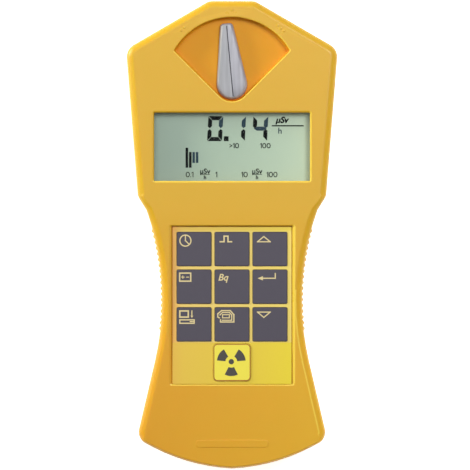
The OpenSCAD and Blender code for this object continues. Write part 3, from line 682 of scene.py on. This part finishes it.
def socket_tool():
    """Opening for the data socket, with a slightly flared mouth."""
    low, high = node_box("data_socket")
    rings = []
    for reach, grow in ((0, 1.1), (4.6, 0.5), (9, 0.5)):
        loop = rounded_box(low[1:] - grow, high[1:] + grow, 0.8)
        rings.append(np.column_stack([np.full(len(loop), SHELL_LOW[0] - 1 + reach), loop]))
    return loft("tool", rings)


def seam_rings(bed_z, up):
    """Rings from a shell's bed over the groove between the shells to its side; up is 1 or -1."""
    outer = ((SEAM, 0, 0), (SEAM * 0.25, SEAM * 0.45, 0), (0, SEAM, 0),
             (0, 0.9, 0), (0, 1.4, 0.85), (0, 2, 1))
    bed = [case_ring(WALL, bed_z), case_ring(WALL, SPLIT_Z)]
    return bed + [case_ring(d, SPLIT_Z + up * away, ribs) for d, away, ribs in outer]


def front_case():
    ceiling = node_box("display_frame")[1][2] + 0.05
    rings = seam_rings(ceiling, 1)
    for below, ribs in ((4.6, 1), (3.9, 0.8), (3.4, 0)):
        rings.append(case_ring(0, FACE_Z - below, ribs, falls=True))
    rings += [case_ring(d, FACE_Z - drop, falls=True, rounding=True) for d, drop in edge_round()]
    case = case_solid("case_front", rings)
    shaft_bore = round_solid("tool", PIVOT, [(3.05, ceiling - 3), (3.05, FACE_Z)])
    lever_seat = round_solid("tool", PIVOT, [(4.3, POCKET_FLOOR - 1), (4.3, FACE_Z)])
    cup = loft("tool", [at_height(pocket_plan(1.6), z) for z in (FACE_Z - 7, ceiling + 0.5)])
    boolean(case, [cup], "UNION")
    boolean(case, [pocket_tool(), shaft_bore, lever_seat, *window_tools(), *keypad_tools(), grille_tool(),
                   socket_tool()])
    boolean(case, [selector_marks(), base_bar()], "UNION")
    dress(case, "case", "case_plastic")
    # painted shade on the pocket's floor and walls
    paint(case, POCKET_SHADED_PLASTIC, in_pocket)
    # painted highlight on rims that face left or up and on the right crease of the base
    paint(case, RIM_HIGHLIGHT, gets_painted_highlight)
    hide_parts("front_shell")


def edge_distance(x, y):
    """Distance from a point to the case's outline."""
    a, b = PLAN, np.roll(PLAN, -1, axis=0)
    leg = b - a
    share = (((x, y) - a) * leg).sum(axis=1) / (leg * leg).sum(axis=1)
    near = a + leg * share.clip(0, 1)[:, None]
    return np.linalg.norm(near - (x, y), axis=1).min()


def gets_painted_highlight(at, normal):
    """Where the painted highlight goes: on an opening's rim that faces left or up, or on the crease along the
    right side of the base.
    """
    x, y, z = at
    if not 0.05 < normal.z < 0.9995:
        return False
    if normal.z > 0.9 and x > 0 and y < CREASE_HIGHLIGHT_Y and abs(edge_distance(x, y) - EDGE_W) < CREASE_R:
        return True
    if normal.z > 0.99 or (normal.x > -0.1 and normal.y < 0.1) or z <= FACE_Z - RIM_DEPTH:
        return False
    for low, high in (WINDOW, (OVERLAY_LOW, OVERLAY_HIGH)):
        if all(low[:2] - RIM_REACH < at[:2]) and all(at[:2] < high[:2] + RIM_REACH):
            return True
    return math.dist(at[:2], PIVOT[:2]) < POCKET_R + 0.6 and y > PIVOT[1] - POCKET_HUB_R - 1


def in_pocket(at, _):
    """On the floor or the walls of the selector pocket."""
    x, y = at[:2] - PIVOT[:2]
    reach = math.hypot(x, y)
    in_sector = abs(x) < y + 1.45 * POCKET_HUB_R and reach < POCKET_R + 0.05
    return (in_sector or reach < POCKET_HUB_R + 0.1) and POCKET_FLOOR - 1.2 < at[2] < FACE_Z - 0.45


def rear_case():
    rings = seam_rings(WALL, -1)
    rings += [case_ring(0, EDGE_H + up, ribs) for up, ribs in ((1.7, 1), (1.0, 0.8), (0.5, 0))]
    rings += [case_ring(d, drop, rounding=True) for d, drop in edge_round()]
    case = case_solid("case_rear", rings)
    plate_recess = [(0.2, -1), (0.2, 0), (0.06, 0.18), (0.06, 0.35)]
    tools = [box_solid("tool", *node_box("rating_plate"), 1.2, plate_recess), grille_tool()]
    posts = []
    for place in screw_places():
        posts.append(round_solid("tool", place, [(3.9, WALL - 0.5), (3.9, SPLIT_Z - 0.02)]))
        flare = [(3.5, -1), (3.5, 0), (3.05, 0.25), (2.9, 0.5), (2.9, 8), (1.5, 8.01), (1.5, SPLIT_Z + 1)]
        tools.append(round_solid("tool", place, flare))
    sound_y = np.mean(node_box("buzzer"), axis=0)[1]
    sound_hole = [(1.15, -1), (1.15, 0), (0.8, 0.3), (0.8, WALL + 1)]
    tools += [round_solid("tool", (x, sound_y), sound_hole, 20) for x in (-4, 0, 4)]
    boolean(case, posts, "UNION")
    boolean(case, tools)
    dress(case, "case", "case_plastic")
    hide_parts("rear_shell")


def screw_places():
    """Axes of the case screws, from the middle of each cluster of the node's points."""
    points = np.array([v.co for v in NODES["case_screws"].data.vertices])[:, :2] / MM
    places = []
    while len(points):
        near = np.linalg.norm(points - points[0], axis=1) < 12
        places.append((points[near].min(axis=0) + points[near].max(axis=0)) / 2)
        points = points[~near]
    return sorted(places, key=lambda place: (place[0] > 0, place[1]))


# ---- selector lever


def lever_loop(d, count=40):
    """Right half of the lever's plan moved inward by d, from the wide end to the tip, as (x, s)."""
    r1, r2 = LEVER_HUB_R - d, LEVER_CORNER_R - d
    corner = np.array([LEVER_TIP_R - LEVER_CORNER_R, LEVER_L - LEVER_CORNER_R])
    lean = math.atan2(corner[1], corner[0]) - math.acos((r1 - r2) / np.linalg.norm(corner))
    along = np.array([math.cos(lean), math.sin(lean)])
    hub = arc((0, 0), r1, np.linspace(-math.pi / 2, lean, count // 2))
    side = [r1 * along * (1 - t) + (corner + r2 * along) * t for t in np.linspace(0, 1, 12)[1:-1]]
    tip = arc(corner, r2, np.linspace(lean, math.pi / 2, count // 3))
    return np.vstack([hub, side, tip, (0, corner[1] + r2)])


def lever_back(x, s):
    """Height of the lever's back: arched across, falling a little towards both ends."""
    crest = node_box("selector_lever")[1][2]
    ends = np.clip((s - 12) / 10, 0, 1) ** 2 * 0.5 + np.clip((-s - 1) / 4.2, 0, 1) ** 2 * 0.5
    return crest - 0.16 * np.abs(x) - 0.012 * np.abs(x) ** 2 - ends


def lever_rows():
    """Rows of the right half, up its side and over its back into the groove, as (plan, heights)."""
    rows = []
    for d, lift in ((0.15, 0), (0.04, 0.04), (0, 0.12)):
        half = lever_loop(d)
        rows.append((half, np.full(len(half), LEVER_BASE + lift)))
    side_z, round_r = LEVER_BASE + 0.15, 0.9
    for turn in np.linspace(0, math.pi / 2, 7):
        half = lever_loop(round_r * (1 - math.cos(turn)))
        rows.append((half, side_z + (lever_back(*half.T) - side_z) * math.sin(turn) ** 1.2))
    x, s = rows[-1][0].T
    for share in (0.8, 0.6, 0.4, 0.2, 0):
        inner = np.minimum(x, LEVER_GROOVE + (x - LEVER_GROOVE).clip(0) * share)
        rows.append((np.column_stack([inner, s]), lever_back(inner, s)))
    bed = np.minimum(x, LEVER_GROOVE * 0.3)
    ends = np.minimum((s - s[0]) / 0.6, (s[-1] - s) / 0.6).clip(0, 1)
    return rows + [(np.column_stack([bed, s]), lever_back(bed, s) - 0.22 * ends)]


def lever_faces(rows, n):
    """Quads of both halves, quads across the middle at both ends, the groove's bed and the foot."""
    faces = []
    for k in range(rows - 1):
        for side in (0, 1):
            for a in range((2 * k + side) * n, (2 * k + side + 1) * n - 1):
                quad = (a, a + 1, a + 2 * n + 1, a + 2 * n)
                faces.append(quad if side == 0 else quad[::-1])
        for i in (0, n - 1):
            a = 2 * k * n + i
            quad = (a, a + 2 * n, a + 3 * n, a + n)
            faces.append(quad if i == 0 else quad[::-1])
    top = (rows - 1) * 2 * n
    faces += [(a, a + 1, a + n + 1, a + n) for a in range(top, top + n - 1)]
    faces.append([*range(n - 1, -1, -1), *range(n, 2 * n)])
    return faces


def in_groove(at, _):
    """In the groove along the lever's back, short of both ends."""
    across, along = (at[:2] - PIVOT[:2]) @ LEVER_TURN.T
    return abs(across) < LEVER_GROOVE and at[2] > POCKET_FLOOR + 1 and -4.4 < along < LEVER_L - 1.0


def selector_lever():
    rows = lever_rows()
    points = np.array([(side * x, s, z) for plan, heights in rows for side in (1, -1)
                       for (x, s), z in zip(plan, heights)])
    points[:, :2] = points[:, :2] @ LEVER_TURN + PIVOT[:2]
    lever = mesh_object("lever", points, lever_faces(len(rows), len(rows[0][0])))
    merge_close(lever)
    face_outward(lever)
    dress(lever, "selector", "lever_grey", smooth=50)
    paint(lever, GROOVE_DARK, in_groove)
    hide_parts("selector_lever")


def merge_close(piece, distance=0.004):
    """Merges points that meet on the middle line and drops the faces this closes up."""
    grid = bmesh.new()
    grid.from_mesh(piece.data)
    bmesh.ops.remove_doubles(grid, verts=grid.verts, dist=distance * MM)
    bmesh.ops.dissolve_degenerate(grid, edges=grid.edges, dist=distance * MM * 0.1)
    grid.to_mesh(piece.data)
    grid.free()


def lever_shaft():
    """Round shaft under the lever, with a chamfered foot."""
    foot = node_box("selector_lever")[0][2]
    profile = [(2.0, foot), (2.3, foot + 0.3), (2.3, SHAFT_STEP_Z), (3.0, SHAFT_STEP_Z + 0.01),
               (3.0, POCKET_FLOOR + 0.4)]
    dress(round_solid("lever_shaft", PIVOT, profile), "selector", "lever_grey")


# ---- keypad


def stroke(points, width, closed=False):
    """Outline strokes as thin quads, one per leg, with square ends that overlap at corners."""
    quads = []
    legs = list(zip(points, points[1:] + points[:1])) if closed else list(zip(points, points[1:]))
    for a, b in legs:
        a, b = np.array(a, float), np.array(b, float)
        d = (b - a) / np.linalg.norm(b - a) * width / 2
        n = np.array([-d[1], d[0]])
        quads.append([a - d - n, b + d - n, b + d + n, a - d + n])
    return quads


def plate(low, high):
    return [[(low[0], low[1]), (high[0], low[1]), (high[0], high[1]), (low[0], high[1])]]


def outline(low, high, width):
    return stroke(plate(low, high)[0], width, closed=True)


def ring_strip(centre, inner, outer, start=0.0, end=360.0, steps=40):
    """Flat ring sector as quads."""
    turns = np.radians(start + (end - start) * np.arange(steps + 1) / steps)
    near, far = arc(centre, inner, turns), arc(centre, outer, turns)
    return list(np.stack([near[:-1], far[:-1], far[1:], near[1:]], axis=1))


def print_on(name, polygons, origin, z, body, slot, ink, thick=0.03):
    """Printed signs: thin raised slabs of ink, one per polygon. Later polygons lie slightly higher."""
    points, faces = [], []
    for k, polygon in enumerate(polygons):
        polygon = np.array(polygon, float) + np.array(origin)[:2]
        x, y = polygon[:, 0], polygon[:, 1]
        if (x * np.roll(y, -1) - y * np.roll(x, -1)).sum() < 0:
            polygon = polygon[::-1]
        n, base = len(polygon), len(points)
        top = z + thick + 0.0004 * (k % 7)
        points += [(*p, z - 0.02) for p in polygon] + [(*p, top) for p in polygon]
        faces += [(base + i, base + (i + 1) % n, base + n + (i + 1) % n, base + n + i) for i in range(n)]
        faces += [tuple(range(base + n - 1, base - 1, -1)), tuple(range(base + n, base + 2 * n))]
    piece = mesh_object(name, points, faces)
    return dress(piece, body, slot, ink, smooth=20)


def letters(name, words, size, origin, z, body, slot, ink, slant=0.0, thick=0.03, bold=0.0):
    """A unit or a number in the built-in typeface, as a thin slab whose lower left corner is at origin."""
    curve = bpy.data.curves.new(name, "FONT")
    curve.body = words
    curve.size = size * MM
    curve.shear = slant
    curve.extrude = thick * MM / 2
    curve.offset = bold * MM
    text = add_object(name, curve)
    text.location = (origin[0] * MM, origin[1] * MM, (z + thick / 2) * MM)
    mesh = evaluated_mesh(text)
    mesh.transform(text.matrix_world)
    bpy.data.objects.remove(text)
    return dress(add_object(name, mesh), body, slot, ink, smooth=20)


def numeral(sign, height, line):
    """Polygons of a 0, a 1, a point or a 'greater than' sign from (0, 0), and the width it takes."""
    middle = height / 2
    if sign == "0":
        half = height * 0.38
        ring = []
        for a in np.linspace(0, 2 * math.pi, 25):
            wide, high = math.copysign(abs(math.cos(a)) ** 0.8, math.cos(a)), math.sin(a)
            ring.append([(half + wide * (half - d), middle + high * (middle - d)) for d in (0, line)])
        return [[p[0], q[0], q[1], p[1]] for p, q in zip(ring, ring[1:])], 2 * half
    if sign == "1":
        left = height * 0.2
        flag = [(0, height * 0.68), (left, height * 0.8), (left + line * 0.4, height),
                (0, height * 0.68 + line * 0.9)]
        return plate((left, 0), (left + line, height)) + [flag], left + line
    if sign == ".":
        return plate((0, 0), (line, line)), line
    point = (height * 0.5, height * 0.5)
    return stroke([(0.1, height * 0.75), point, (0.1, height * 0.25)], line * 0.8), height * 0.55


def numerals(words, corner, height, line=0.29, gap=0.16):
    """Numbers for the display's scale, drawn as strokes."""
    polygons, x = [], corner[0]
    for sign in words:
        shapes, width = numeral(sign, height, line)
        polygons += [[(x + px, corner[1] + py) for px, py in shape] for shape in shapes]
        x += width + gap
    return polygons


LINE = 0.38     # width of a printed line on the keys


def sign_polygons(name):
    """The printed sign of a key, about the key's centre."""
    signs = {
        "key_clock": ring_strip((-3.0, 2.95), 1.72, 2.13)
        + stroke([(-3.0, 4.8), (-3.0, 2.95), (-1.9, 1.85)], 0.36),
        "key_pulse": stroke([(-4.1, 2.55), (-2.75, 2.55), (-2.75, 4.5), (-1.4, 4.5), (-1.4, 2.55),
                             (-0.15, 2.55)], 0.46),
        "key_up": stroke([(-4.35, 2.55), (0.1, 2.55), (-2.13, 4.35)], LINE, closed=True),
        "key_down": stroke([(-4.35, 4.3), (0.1, 4.3), (-2.13, 2.45)], LINE, closed=True),
        "key_battery": outline((-5.0, 1.95), (-1.15, 4.75), 0.46)
        + stroke([(-4.35, 3.35), (-3.45, 3.35)], 0.28) + stroke([(-3.9, 2.95), (-3.9, 3.75)], 0.28)
        + stroke([(-2.6, 3.35), (-1.85, 3.35)], 0.28),
        "key_enter": stroke([(1.85, 4.6), (1.85, 2.95), (-2.7, 2.95)], 0.4)
        + [[(-4.3, 2.95), (-2.45, 2.2), (-2.45, 3.7)]],
        "key_transfer": outline((-4.95, 2.55), (-2.0, 4.7), 0.5)
        + stroke([(-0.75, 4.7), (-0.75, 3.0)], 0.36) + [[(-0.75, 2.25), (-1.2, 3.05), (-0.3, 3.05)]]
        + outline((-4.95, 0.4), (0.05, 1.6), 0.42) + stroke([(-1.3, 1.0), (-0.4, 1.0)], 0.4),
        "key_memory": stroke([(-4.0, 2.1), (-4.0, 0.85), (0.65, 0.85), (0.65, 3.4), (-0.6, 4.8), (-3.6, 4.8),
                              (-4.95, 3.7), (-4.95, 2.6), (-4.0, 2.1)], 0.42)
        + stroke([(-3.35, 1.45), (-0.1, 1.45), (-0.1, 3.3), (-0.9, 4.15), (-3.3, 4.15), (-4.2, 3.3)], 0.36)
        + outline((-3.3, 2.3), (-0.9, 3.4), 0.34),
    }
    return signs.get(name)


def key_cap(name, slot, corner, foot_inset):
    """Cap of a key over its narrower foot; returns the cap's box."""
    low, high = cap_box(name)
    foot, crown = node_box(name)[0][2], 0.22
    profile = [(foot_inset, foot + 0.85), (foot_inset, foot + 1.6), (0, foot + 1.65), (0, high[2] - crown)]
    profile += round_over(-crown, crown, high[2] - crown)
    cap = box_solid(name + "_cap", low, high, corner, profile)
    dress(cap, name, slot)
    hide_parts(name)
    return low, high


def grey_keys():
    for name in GREY_KEYS:
        low, high = key_cap(name, "key_grey", 0.45, 0.35)
        signs = sign_polygons(name)
        if signs:
            print_on(name + "_sign", signs, (low + high) / 2, high[2], name, "key_grey", INK_CREAM)
    low, high = cap_box("key_unit")
    corner = (low + high)[:2] / 2 + (-4.9, 2.2)
    letters("key_unit_sign", "Bq", 3.25, corner, high[2], "key_unit", "key_grey", INK_CREAM,
            slant=0.25, bold=0.05)


def sounder_key():
    low, high = key_cap("key_sounder", "sign_yellow", 1.5, 0.3)
    middle = (low + high) / 2 + (-0.25, 0.25, 0)
    signs = ring_strip((0, 0), 0.02, 0.93, steps=28)
    for blade in (32, 148, 270):
        signs += ring_strip((0, 0), 2.05, 5.0, blade - 27, blade + 27, 14)
    print_on("trefoil_sign", signs, middle, high[2], "key_sounder", "sign_yellow", INK_DARK)
    outer = rounded_box(low[:2] + 0.1, high[:2] - 0.1, 1.4)
    inner = rounded_box(low[:2] + 0.42, high[:2] - 0.42, 1.1)
    border = list(zip(outer, np.roll(outer, -1, axis=0), np.roll(inner, -1, axis=0), inner))
    print_on("sounder_border", border, (0, 0), high[2] - 0.012, "key_sounder", "sign_yellow",
             INK_OUTLINE, 0.02)


def keypad_film():
    """Film with ten openings, each with a softly rolled rim."""
    low, high = OVERLAY_LOW, OVERLAY_HIGH
    edge, rim, play = 0.15, 0.1, 0.1
    profile = [(0, low[2] + 0.02), (0, high[2] - edge), *round_over(-edge, edge, high[2] - edge)]
    film = box_solid("keypad_film", low + FILM_GAPS[0], high - FILM_GAPS[1], 0.3, profile)
    profile = [(play, low[2] - 1), (play, high[2] - rim)]
    profile += [(play + g, z) for g, z in round_over(rim, rim, high[2] - rim)] + [(play + rim, high[2] + 1)]
    boolean(film, [key_wells(profile, 0.45, 1.5)])
    dress(film, "case", "key_film")
    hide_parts("keypad_overlay")


# ---- display


def segment(kind, corner, size, bar, slant):
    """One bar of a seven-segment digit. corner is the digit's lower left, size its width and height."""
    w, h = size
    gap, mid, half = 0.16, h / 2, bar / 2
    shapes = {
        "a": [(gap, h), (w - gap, h), (w - bar, h - bar), (bar, h - bar)],
        "d": [(gap, 0), (w - gap, 0), (w - bar, bar), (bar, bar)],
        "g": [(gap * 2, mid), (bar, mid + half), (w - bar, mid + half), (w - gap * 2, mid),
              (w - bar, mid - half), (bar, mid - half)],
        "f": [(0, h - gap), (bar, h - bar - gap), (bar, mid + half + gap), (half, mid + gap),
              (0, mid + half)],
        "e": [(0, gap), (bar, bar + gap), (bar, mid - half - gap), (half, mid - gap), (0, mid - half)],
    }
    shapes["b"] = [(w - x, y) for x, y in shapes["f"]]
    shapes["c"] = [(w - x, y) for x, y in shapes["e"]]
    return [(corner[0] + x + slant * y, corner[1] + y) for x, y in shapes[kind]]


def display_marks():
    """Reading, unit, bar graph and scale, placed about the middle of the window."""
    z = PANEL_HIGH[2] + 0.02
    size, bar, slant, baseline = (5.2, 8.7), 1.42, 0.055, 2.1
    digits = [(-8.7, "abcdef", "b"), (-0.75, "bc", "b"), (7.0, "fgbc", "gb")]
    dark, mid, fine = [], [], []
    for x, lit, pale in digits:
        for kind in lit:
            (mid if kind in pale else dark).append(segment(kind, (x, baseline), size, bar, slant))
    dark += plate((-2.85, baseline), (-1.2, baseline + 1.7))
    dark += plate((13.9, 7.22), (25.0, 7.66))
    for x, low, high in ((-16.2, -7.2, -0.2), (-15.0, -7.2, -1.7)):
        dark += plate((x, low), (x + 0.9, high))
    for x in (-13.8, -12.6):
        mid += plate((x, -5.5), (x + 0.86, -1.7))
    for words, place, height in SCALE_MARKS:
        fine += numerals(words, place, height)
    for x in (-9.4, 8.75):
        fine += plate((x - 1.7, -9.62), (x + 1.7, -9.44))
    for name, shapes, ink in (("segments_dark", dark, SEGMENT_DARK), ("segments_pale", mid, SEGMENT_MID),
                              ("scale", fine, SEGMENT_FINE)):
        print_on("display_" + name, shapes, WINDOW_MID, z, "case", "display", ink, 0.02)
    for name, words, height, place, slope, bold, ink in UNIT_MARKS:
        letters("display_" + name, words, height, WINDOW_MID + np.array(place), z, "case", "display", ink,
                slant=slope, thick=0.02, bold=bold)


# (number, lower left corner, height) about the middle of the window
SCALE_MARKS = [
    ("0.1", (-16.15, -10.5), 1.88), ("1", (-5.8, -10.5), 1.88), ("10", (3.2, -10.5), 1.88),
    ("100", (12.0, -10.5), 1.88), (">10", (-0.9, -0.4), 1.8), ("100", (9.75, -0.4), 1.8),
]
# (piece, unit, size, lower left corner, slant, thickening, ink)
UNIT_MARKS = [
    ("unit_top", "µSv", 2.95, (15.15, 8.5), 0.25, 0.13, SEGMENT_DARK),
    ("unit_low", "h", 2.9, (16.0, 4.75), 0.0, 0.05, SEGMENT_MID),
    ("unit_small_left", "µSv", 2.5, (-11.25, -9.25), 0.0, 0.06, SEGMENT_FINE),
    ("unit_small_left_low", "h", 1.9, (-9.9, -11.15), 0.0, 0.06, SEGMENT_FINE),
    ("unit_small_right", "µSv", 2.5, (6.9, -9.25), 0.0, 0.06, SEGMENT_FINE),
    ("unit_small_right_low", "h", 1.9, (8.25, -11.15), 0.0, 0.06, SEGMENT_FINE),
]


# ---- small raised marks on the case


def selector_marks():
    """One, two and three low domed dots beside the three places of the lever."""
    reach, r, height = 25.7, 0.5, 0.14
    dome = [(r * math.cos(a), FACE_Z - 0.02 + height * math.sin(a)) for a in np.linspace(0, 1.35, 6)]
    dots = []
    for bearing, count in ((0, 1), (42, 2), (-41, 3)):
        for i in range(count):
            a = math.radians(bearing + (i - (count - 1) / 2) * 3.3)
            place = PIVOT[:2] + (-reach * math.sin(a), reach * math.cos(a))
            dots.append(round_solid("dot", place, dome, 20))
    return joined("selector_dots", dots)


def base_bar():
    """Plain low bar near the tip of the base."""
    low, high = np.array([-12.6, TIP_Y + 7.6]), np.array([12.6, TIP_Y + 10.2])
    rings = []
    for g, lift in [(0, -0.1), *round_over(-0.2, 0.07, 0.03)]:
        loop = rounded_box(low - g, high + g, 1.0)
        rings.append(at_height(loop, FACE_Z - FALL * (FOLD_Y - loop[:, 1]) + lift))
    return loft("base_bar", rings)


# ---- CAD nodes that stay


def dress_cad_nodes():
    slots = {part["node"]: part["material_slot"] for part in frame["record"]["subparts"]}
    for name, piece in NODES.items():
        if not piece.hide_render:
            coat(piece, MATERIALS[slots[name]])
    for name in ("window_grille", "rating_plate", "display_frame"):
        weld = NODES[name].modifiers.new("weld", "WELD")
        weld.merge_threshold = 0.001 * MM
        bevel = NODES[name].modifiers.new("soft_edges", "BEVEL")
        bevel.width = (0.04 if name == "rating_plate" else 0.12) * MM
        bevel.segments = 2
        bevel.limit_method = "ANGLE"


# ---- studio


def area_light(name, place, target, size, watts, colour=(1, 1, 1)):
    """Square softbox aimed at a point; places and sizes are metres."""
    data = bpy.data.lights.new(name, "AREA")
    data.shape = "RECTANGLE"
    data.size, data.size_y = size
    data.energy, data.color = watts, colour
    light = add_object(name, data)
    light.location = place
    light.rotation_euler = (Vector(target) - Vector(place)).to_track_quat("-Z", "Y").to_euler()


def floor():
    """Pale floor that only shows from above, so that the underside can be seen too."""
    m = Nodes("floor_paint")
    pale = m.mix(m.span(m.noise(60), 0.3, 0.7), linear((246, 246, 246)), linear((243, 243, 243)))
    lit = m.add("ShaderNodeAddShader")
    m.feed(lit.inputs[0], m.add("ShaderNodeBsdfDiffuse", Color=pale).outputs[0])
    m.feed(lit.inputs[1], m.add("ShaderNodeEmission", Strength=0.8).outputs[0])
    from_below = m.add("ShaderNodeNewGeometry").outputs["Backfacing"]
    ticks = np.linspace(-3000, 3000, 26)
    points = [(x, y, -0.05) for y in ticks for x in ticks]
    piece = mesh_object("floor", points, ring_faces(len(ticks), len(ticks), closed=False))
    coat(piece, m.blend(from_below, lit, m.add("ShaderNodeBsdfTransparent")))


def studio():
    """Three softboxes and a dim surround that the camera sees as white."""
    world = bpy.data.worlds.new("studio")
    world.use_nodes = True
    tree = world.node_tree
    seen = tree.nodes.new("ShaderNodeLightPath").outputs["Is Camera Ray"]
    strength = tree.nodes.new("ShaderNodeMapRange")
    strength.inputs["To Min"].default_value = 0.16
    tree.links.new(seen, strength.inputs["Value"])
    tree.links.new(strength.outputs["Result"], tree.nodes["Background"].inputs["Strength"])
    tree.nodes["Background"].inputs["Color"].default_value = (1, 1, 1, 1)
    bpy.context.scene.world = world
    area_light("key", (0.32, 0.26, 0.62), (0, 0.01, 0.03), (0.25, 0.25), 2.2)
    area_light("left_low", (-0.62, 0.32, 0.17), (0, 0, 0.03), (0.30, 0.10), 3.9, (0.95, 1, 0.8))
    area_light("overhead", (-0.1, 0.3, 0.85), (0, 0, 0), (0.8, 0.8), 3.1)
    view = bpy.context.scene.view_settings
    view.view_transform, view.look = "Standard", "None"


def camera():
    """Looks straight down on the face; the case fills the frame from tip to nose."""
    distance = 0.85
    widest_z = (FACE_Z - EDGE_H) * MM
    fill, shift = 0.99574, 0.00638    # the case's share of the picture's height, and its way to the left
    data = bpy.data.cameras.new("camera")
    data.sensor_width = 36
    data.lens = data.sensor_width * distance / ((NOSE_Y - TIP_Y) * MM / fill)
    data.shift_x = shift
    eye = add_object("camera", data)
    eye.location = (0, 0, widest_z + distance)
    bpy.context.scene.camera = eye


front_case()
rear_case()
selector_lever()
lever_shaft()
keypad_film()
grey_keys()
sounder_key()
display_marks()
dress_cad_nodes()
floor()
studio()
camera()
